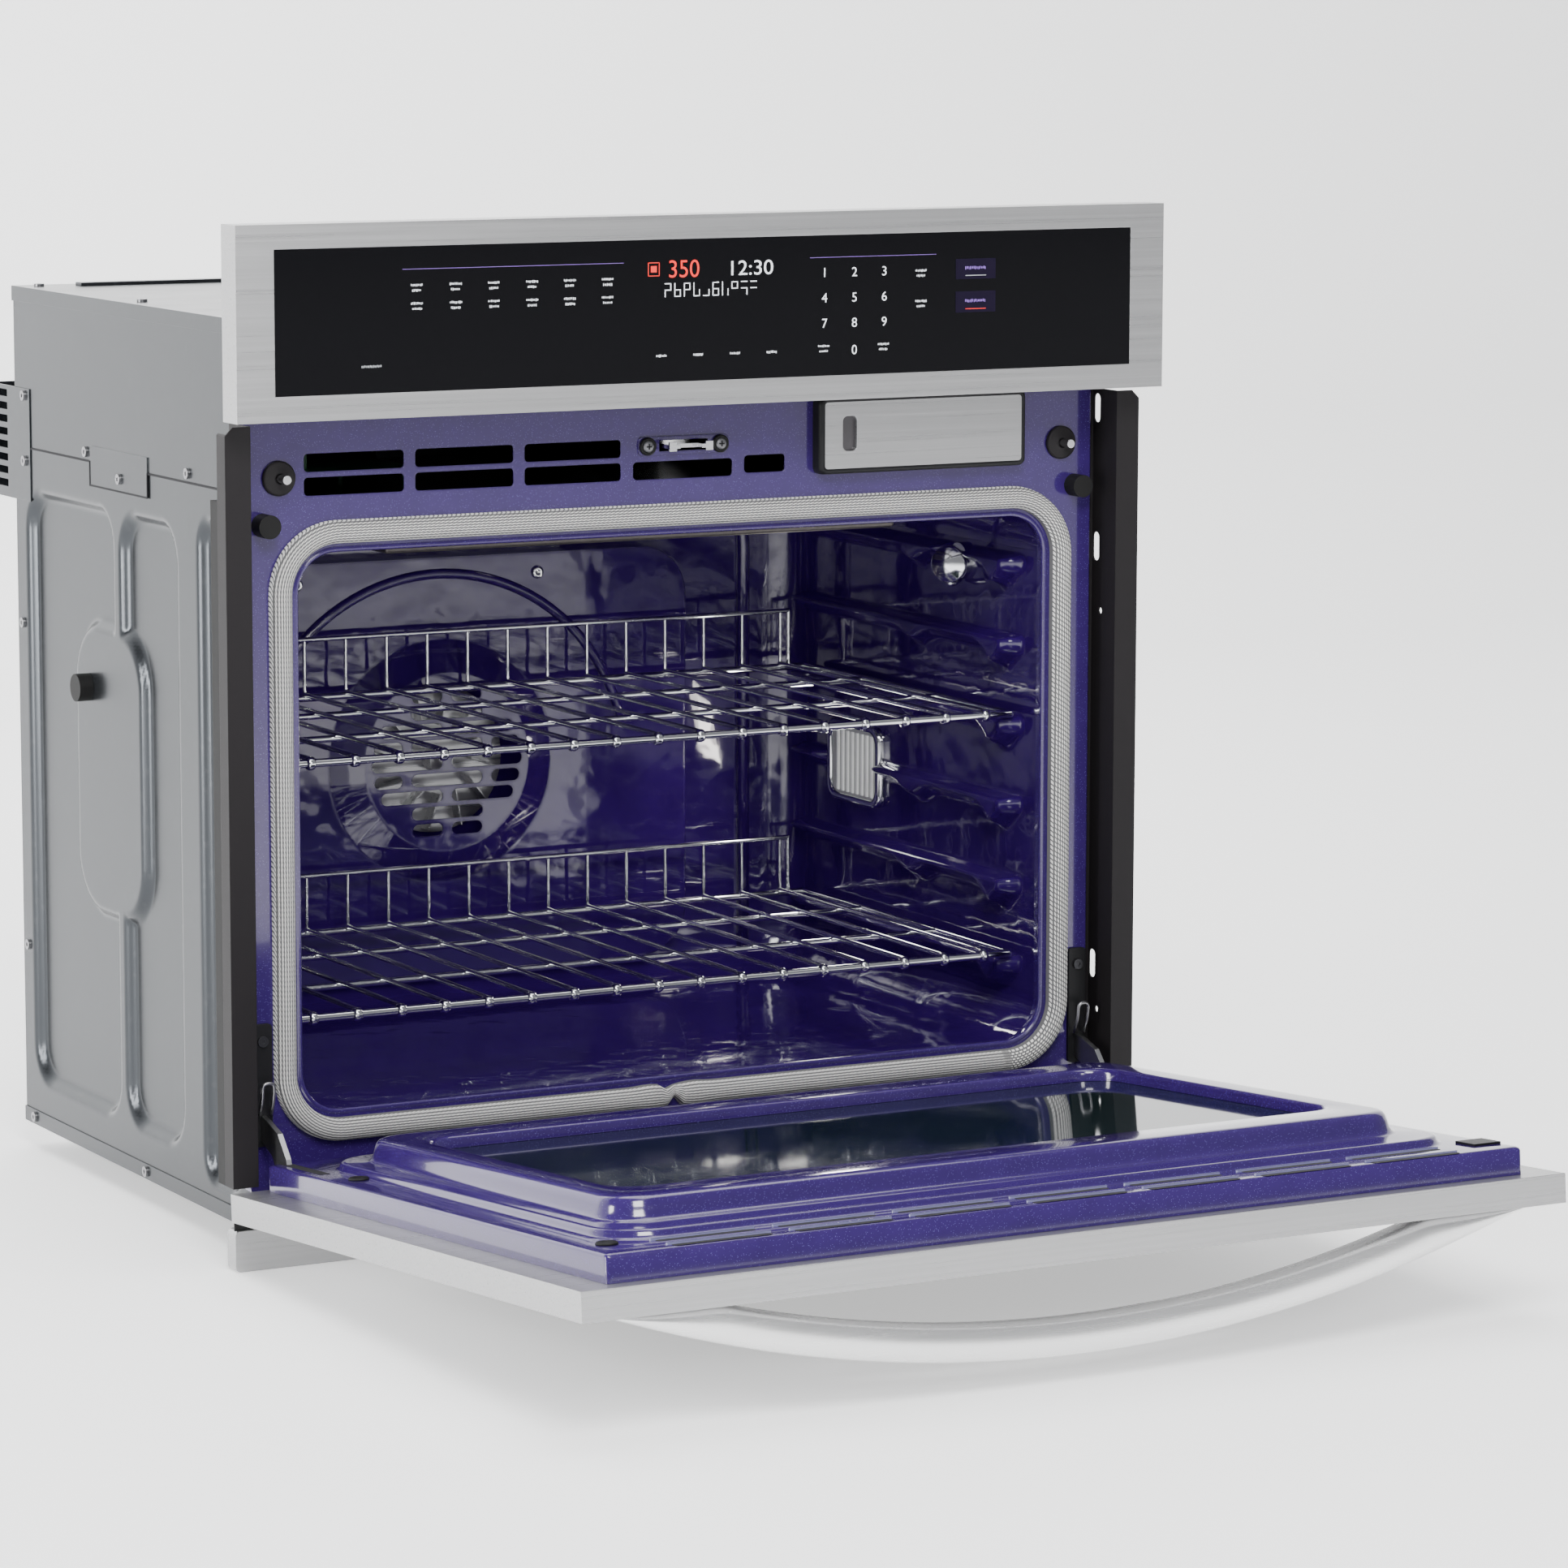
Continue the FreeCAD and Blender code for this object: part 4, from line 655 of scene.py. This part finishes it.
def latch_screws():
    wide, narrow = 2.1, 0.5  # half length and half width of the cross
    for tag, side in SIDES:
        x = side * 30
        lathe(tag + "_latch_washer", (x, FRAME_Y, LATCH_Z), (0, -1, 0),
              [(6.6, 0.0), (6.6, 3.2), (6.0, 4.0), (4.6, 4.1), (4.4, 3.4)], FINISH["rubber"])
        lathe(tag + "_latch_screw", (x, 53.7, LATCH_Z), (0, -1, 0),
              [(4.4, 0.0), (4.2, 0.8), (2.6, 1.3), (0.1, 1.5)], HEAD)
        cross = [(x - w, x + w, 51.9, 53, LATCH_Z - h, LATCH_Z + h)
                 for w, h in ((wide, narrow), (narrow, wide))]
        plates(tag + "_latch_cross", cross, DARK)


def hinge_bails():
    """The small lock bails that straddle the hinge arms."""
    for tag, side in SIDES:
        x0, x1 = side * HINGE_X - 4.4, side * HINGE_X + 4.4
        path = [(x0, 50, 108), (x0, 45, 121), (x0, 44, 132),
                (x1, 44, 132), (x1, 45, 121), (x1, 50, 108)]
        tube(tag + "_lock_bail", bent(path, 4), 1.3, FINISH["zinc_screw"])


# ------------------------------------------------------------ control panel
def panel_graphics():
    y0, y1 = 0.05, 0.25      # printed marks, just over the panel's front face
    digits("set_digits", "350", -41.6, 702.6, 12.6, RED, 24.5)
    digits("clock_digits", "12:30", 6.6, 703.0, 10.6, WHITE, 34.4)
    rows = {703: "123", 684.5: "456", 666: "789", 646: " 0 "}
    for z, text in rows.items():
        for x, character in zip((87, 112, 137), text):
            if character != " ":
                digits("key_%s" % character, character, x - 2.3, z - 3.4, 6.8, WHITE)
    rules = [(-251, -77, y0, y1, 713.8, 714.1), (75, 181, y0, y1, 713.8, 714.1)]
    plates("panel_rules", rules, PURPLE)
    marks = []
    for x in (-239.6, -209.5, -179.5, -149.5, -119.6, -89.5):
        for z in (701, 688):
            marks += two_rows(x, z)
    for x in (-46.4, -16.3, 13.6, 43.8):
        marks += mark_row(x, 646.6, 4.5, 1.6)
    for x, z in ((168.5, 700.6), (168.5, 678.2), (87, 647.5), (137, 647.5)):
        marks += two_rows(x, z)
    plates("panel_marks", marks, WHITE)
    plates("dot_matrix", dot_row(-44, 33.6, 688.6, 698.6), WHITE)
    plates("faint_label", mark_row(-275, 646.7, 8, 1.5), FAINT)
    ring = [(-57.5, -48.1, y0, y1, 713.2, 713.8), (-57.5, -48.1, y0, y1, 703.8, 704.4),
            (-57.5, -56.9, y0, y1, 703.8, 713.8), (-48.7, -48.1, y0, y1, 703.8, 713.8),
            (-55.2, -50.4, y0, y1, 706.6, 711.2)]
    plates("heat_icon", ring, RED)
    for k, (z0, z1, line) in enumerate(((695, 710, FAINT), (670.4, 686, RED))):
        plates("touch_key_%d" % k, [(197.7, 231.8, y0, y1, z0, z1)], KEYS)
        plates("touch_key_mark_%d" % k, mark_row(214.7, (z0 + z1) / 2 + 1, 9, 1.9), PURPLE)
        plates("touch_key_line_%d" % k, [(206, 223.5, -0.1, 0.2, z0 + 2.4, z0 + 2.9)], line)


def two_rows(x, z):
    """The marks of a label on two lines."""
    return mark_row(x, z + 1.9, 5, 1.5) + mark_row(x, z - 1.9, 4, 1.5)


def mark_row(x, z, half, height):
    """A short row of tiny strokes, too small to read."""
    out, left = [], x - half
    while left < x + half - 1:
        wide = rng.uniform(0.3, 0.75)
        low = rng.choice((0.5, 0.5, 0.75))
        high = rng.choice((0.3, 0.5))
        out.append((left, left + wide, -0.05, 0.22, z - height * low, z + height * high))
        left += wide + rng.uniform(0.3, 0.7)
    return out


def dot_row(x0, x1, z0, z1):
    """A lit display's cells, each with some of its thin bars on."""
    cells, bar, lit_share = 10, 0.75, 0.6
    out, pitch = [], (x1 - x0) / cells
    middle = (z0 + z1) / 2
    for i in range(cells):
        a, b = x0 + pitch * i, x0 + pitch * i + pitch * 0.68
        bars = [(a, b, z1 - bar, z1), (a, b, middle - bar / 2, middle + bar / 2),
                (a, b, z0, z0 + bar), (a, a + bar, z0, middle), (a, a + bar, middle, z1),
                (b - bar, b, z0, middle), (b - bar, b, middle, z1)]
        out += [(p, q, 0.02, 0.25, r, t) for p, q, r, t in bars if rng.random() < lit_share]
    return out


# ------------------------------------------------------------ cavity
def guide_depth(y, z, side):
    """How far the pressed rack guides stand in from a side wall."""
    levels, lowest, pitch, stand = 6, 162.0, 62.5, 16.0
    depth = np.zeros_like(y)
    for level in range(levels):
        top = lowest + pitch * level
        dip = (14.0 * np.exp(-((y - 122) / 14) ** 2)
               + 9.0 * np.exp(-((y - 250) / 18) ** 2))
        low = top - 15.0 - dip
        up = smooth_step((top + 0.3 - z) / 3.2) * smooth_step((z - low) / 11.0)
        ends = smooth_step((y - 96) / 12) * smooth_step((456 - y) / 12)
        depth = np.maximum(depth, stand * up * ends)
    if side > 0:
        lens = np.maximum(np.abs(y - 357) - 41, np.abs(z - 281) - 32)
        jack = np.hypot(y - 190, z - 462) - 17
        depth = depth * smooth_step(lens / 9) * smooth_step(jack / 8)
    return depth


def cavity():
    """The pressed liner: one rounded box with deep corners, and guides raised on both walls."""
    x, (z0, z1), r = CAVITY_X, CAVITY_Z, CAVITY_R
    back_y, back_r = 440, 30     # where the walls start to turn into the back, and how round
    rings = [rounded_loop(-x, x, z0, z1, r, y, 12) for y in (58.3, 250, back_y)]
    for degrees in np.linspace(15, 90, 6):
        a = math.radians(degrees)
        k = back_r * (1 - math.cos(a))
        rings.append(rounded_loop(-x + k, x - k, z0 + k, z1 - k, r - k,
                                  back_y + back_r * math.sin(a), 12))
    points, faces = loft(rings)
    faces.append(tuple(range(len(points) - len(rings[-1]), len(points))))
    shell = add_mesh("cavity_shell", points, faces, CAVITY)
    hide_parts("cavity_liner")
    ny, nz = 110, 200
    grid_y, grid_z = np.meshgrid(np.linspace(62, 462, ny), np.linspace(136, 480, nz))
    for tag, side in SIDES:
        depth = guide_depth(grid_y, grid_z, side)
        points = [(side * (CAVITY_X - 0.3 - d), y, z) for y, z, d in
                  zip(grid_y.ravel(), grid_z.ravel(), depth.ravel())]
        add_mesh(tag + "_guides", points, grid_faces(ny, nz), CAVITY)
    corners = [(-268, 468, 118), (-268, 468, 486), (268, 468, 486), (268, 468, 118)]
    tube("back_rib", bent(corners, 34), 5.5, CAVITY, sides=16)
    fan_x, fan_z, reach = -17, 275, 168
    arch = [(fan_x + reach * math.cos(t), 449.5, fan_z + reach * math.sin(t))
            for t in np.linspace(0.25, 2.9, 40)]
    tube("baffle_arch", arch, 4.2, CAVITY, sides=16)


def cavity_details():
    lathe("probe_socket", (CAVITY_X, 190, 462), (-1, 0, 0),
          [(14.5, 0.0), (14.5, 3.0), (13.0, 4.4), (8.6, 4.8), (8.2, 8.5), (6.6, 9.4), (4.4, 9.4),
           (4.2, 7.0), (0.1, 7.0)], FINISH["chrome"])
    lathe("probe_cap", (299, 182, 461), (-0.75, -0.66, 0),
          [(13.5, 0.0), (14.5, 1.2), (14.5, 3.2), (13.2, 4.4), (0.1, 4.8)], FINISH["chrome"])
    tube("probe_cap_hinge", [(299, 184, 446), (306, 187, 445), (313, 190, 448)], 2.4,
         FINISH["chrome"])
    ribs = [(310.4, 312.2, y, y + 2.4, 256, 306) for y in range(326, 390, 8)]
    plates("lens_ribs", ribs, LENS)
    rim = [rounded_side(314 + k, 400 - k, 248 + k, 314 - k, x) for k, x in
           ((0, 315.5), (0, 310.5), (1.2, 309.4), (4.6, 309.4), (5.6, 311.6))]
    points, faces = loft(rim)
    add_mesh("lens_rim", points, faces, FINISH["chrome"])
    for k, x in enumerate((-139, 71)):
        lathe("baffle_screw_%d" % k, (x, 449, 440), (0, -1, 0),
              [(5.2, 0.2), (5.2, 1.2), (4.2, 2.6), (1.8, 3.0), (1.4, 1.6), (0.1, 1.6)], BRIGHT)


def rounded_side(y0, y1, z0, z1, x):
    """A rounded rectangle lying on a side wall."""
    return [(x, p[0], p[2]) for p in rounded_loop(y0, y1, z0, z1, 11, 0, 6)]


def rack_wraps():
    """Each rung's end is rolled round the front rod."""
    rungs, pitch, rod_y, sides = 17, 35.3, 98, 14
    profile = ((-3.4, 3.2), (-2.8, 4.5), (-1.4, 5.0), (1.4, 5.0), (2.8, 4.5), (3.4, 3.2))
    turns = np.linspace(0, 2 * math.pi, sides + 1)[:-1]
    for node_name, body, rod_z in (("rack_lower", "lower_rack", 165.5),
                                   ("rack_upper", "upper_rack", 353.0)):
        points, faces = [], []
        for i in range(rungs):
            x = (i - rungs // 2) * pitch
            rings = [[(x + dx, rod_y + r * math.cos(t), rod_z + r * math.sin(t)) for t in turns]
                     for dx, r in profile]
            ring_points, ring_faces = loft(rings)
            k = len(points)
            points += ring_points
            faces += [tuple(k + n for n in f) for f in ring_faces]
        add_mesh(node_name + "_wraps", points, faces, FINISH["chrome"], body)


def tank_border():
    """The black surround between the tank's face and the frame."""
    rings = [rounded_loop(109.5 + k, 285.5 - k, 550.5 + k, 607 - k, 5 - k * 0.7, y, 6)
             for k, y in ((-0.8, 57), (-0.8, 50), (0, 46.2), (1.4, 45.2), (3.4, 45.4), (3.6, 48.4))]
    points, faces = loft(rings)
    add_mesh("tank_surround", points, faces, FINISH["black_plastic"])


# ------------------------------------------------------------ floor, lights and camera
def stage_floor():
    """A floor that curves up behind the oven. Cameras behind it see only its back."""
    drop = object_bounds()[0][2] - 0.0005
    size = 12.0
    curve = [(-size, drop), (1.6, drop), (2.2, drop + 0.05), (2.6, drop + 0.3),
             (2.8, drop + 0.9), (2.9, drop + 5.0)]
    points = [(x, y, z) for y, z in curve for x in (-size, size)]
    faces = grid_faces(2, len(curve))
    data = bpy.data.meshes.new("floor")
    data.from_pydata(points, [], faces)
    for poly in data.polygons:
        poly.use_smooth = True
    data.materials.append(material("floor_paper", (0.90, 0.90, 0.90), 0.8, grain=(3, 3, 3),
                                   tint=0.01, bump=0.0, edge=0, emit=0.75))
    placed("floor", data)


def area_light(name, spot, target, size, power, color=(1, 1, 1)):
    """A rectangular light in metres and watts, aimed at target."""
    data = bpy.data.lights.new(name, "AREA")
    data.shape = "RECTANGLE"
    data.size, data.size_y = size
    data.energy = power
    data.color = color
    light = placed(name, data)
    light.location = spot
    light.rotation_euler = (Vector(target) - Vector(spot)).to_track_quat("-Z", "Y").to_euler()


def lights():
    world = bpy.data.worlds.new("studio")
    world.use_nodes = True
    back = world.node_tree.nodes["Background"]
    back.inputs["Color"].default_value = (0.93, 0.95, 1.0, 1)
    back.inputs["Strength"].default_value = 0.30
    bpy.context.scene.world = world
    area_light("key", (-1.0, -2.8, 2.6), (0, -0.2, 0.3), (1.3, 1.3), 130)
    area_light("slope", (-3.2, -0.25, 0.6), (-0.34, 0.05, 0.3), (0.7, 2.0), 110)
    area_light("top", (0.2, -0.2, 2.8), (0, -0.3, 0), (2.6, 1.8), 70)
    area_light("mouth", (0.1, -2.6, 1.0), (0, 0.1, 0.3), (0.4, 0.4), 9)
    area_light("backdrop", (0.0, 1.6, 3.2), (0, 4.0, 1.0), (4.0, 1.0), 120)
    area_light("oven_lamp", (0.29, 0.06, 0.26), (-0.1, 0, 0.2), (0.06, 0.05), 0.3, (1, 0.95, 0.9))


def camera():
    """Looks at the open oven from the left, a little above the racks."""
    yaw, pitch, roll = math.radians(28.35), math.radians(-8.38), math.radians(0.12)
    ahead = Vector((math.sin(yaw) * math.cos(pitch), math.cos(yaw) * math.cos(pitch),
                    math.sin(pitch)))
    data = bpy.data.cameras.new("camera")
    data.lens = 133.7
    data.sensor_width = 36.0
    data.dof.use_dof = False
    data.clip_end = 50
    view = placed("camera", data)
    view.location = at(-1961, -3735, 953)
    turn = ahead.to_track_quat("-Z", "Y").to_matrix()
    view.rotation_euler = (turn @ Matrix.Rotation(roll, 3, "Z")).to_euler()
    bpy.context.scene.camera = view


side_panels()
chassis_details()
door_pieces()
handle()
gasket()
latch_screws()
mouth()
plungers()
hinge_bails()
panel_graphics()
tank_border()
cavity()
cavity_details()
rack_wraps()
stage_floor()
lights()
camera()
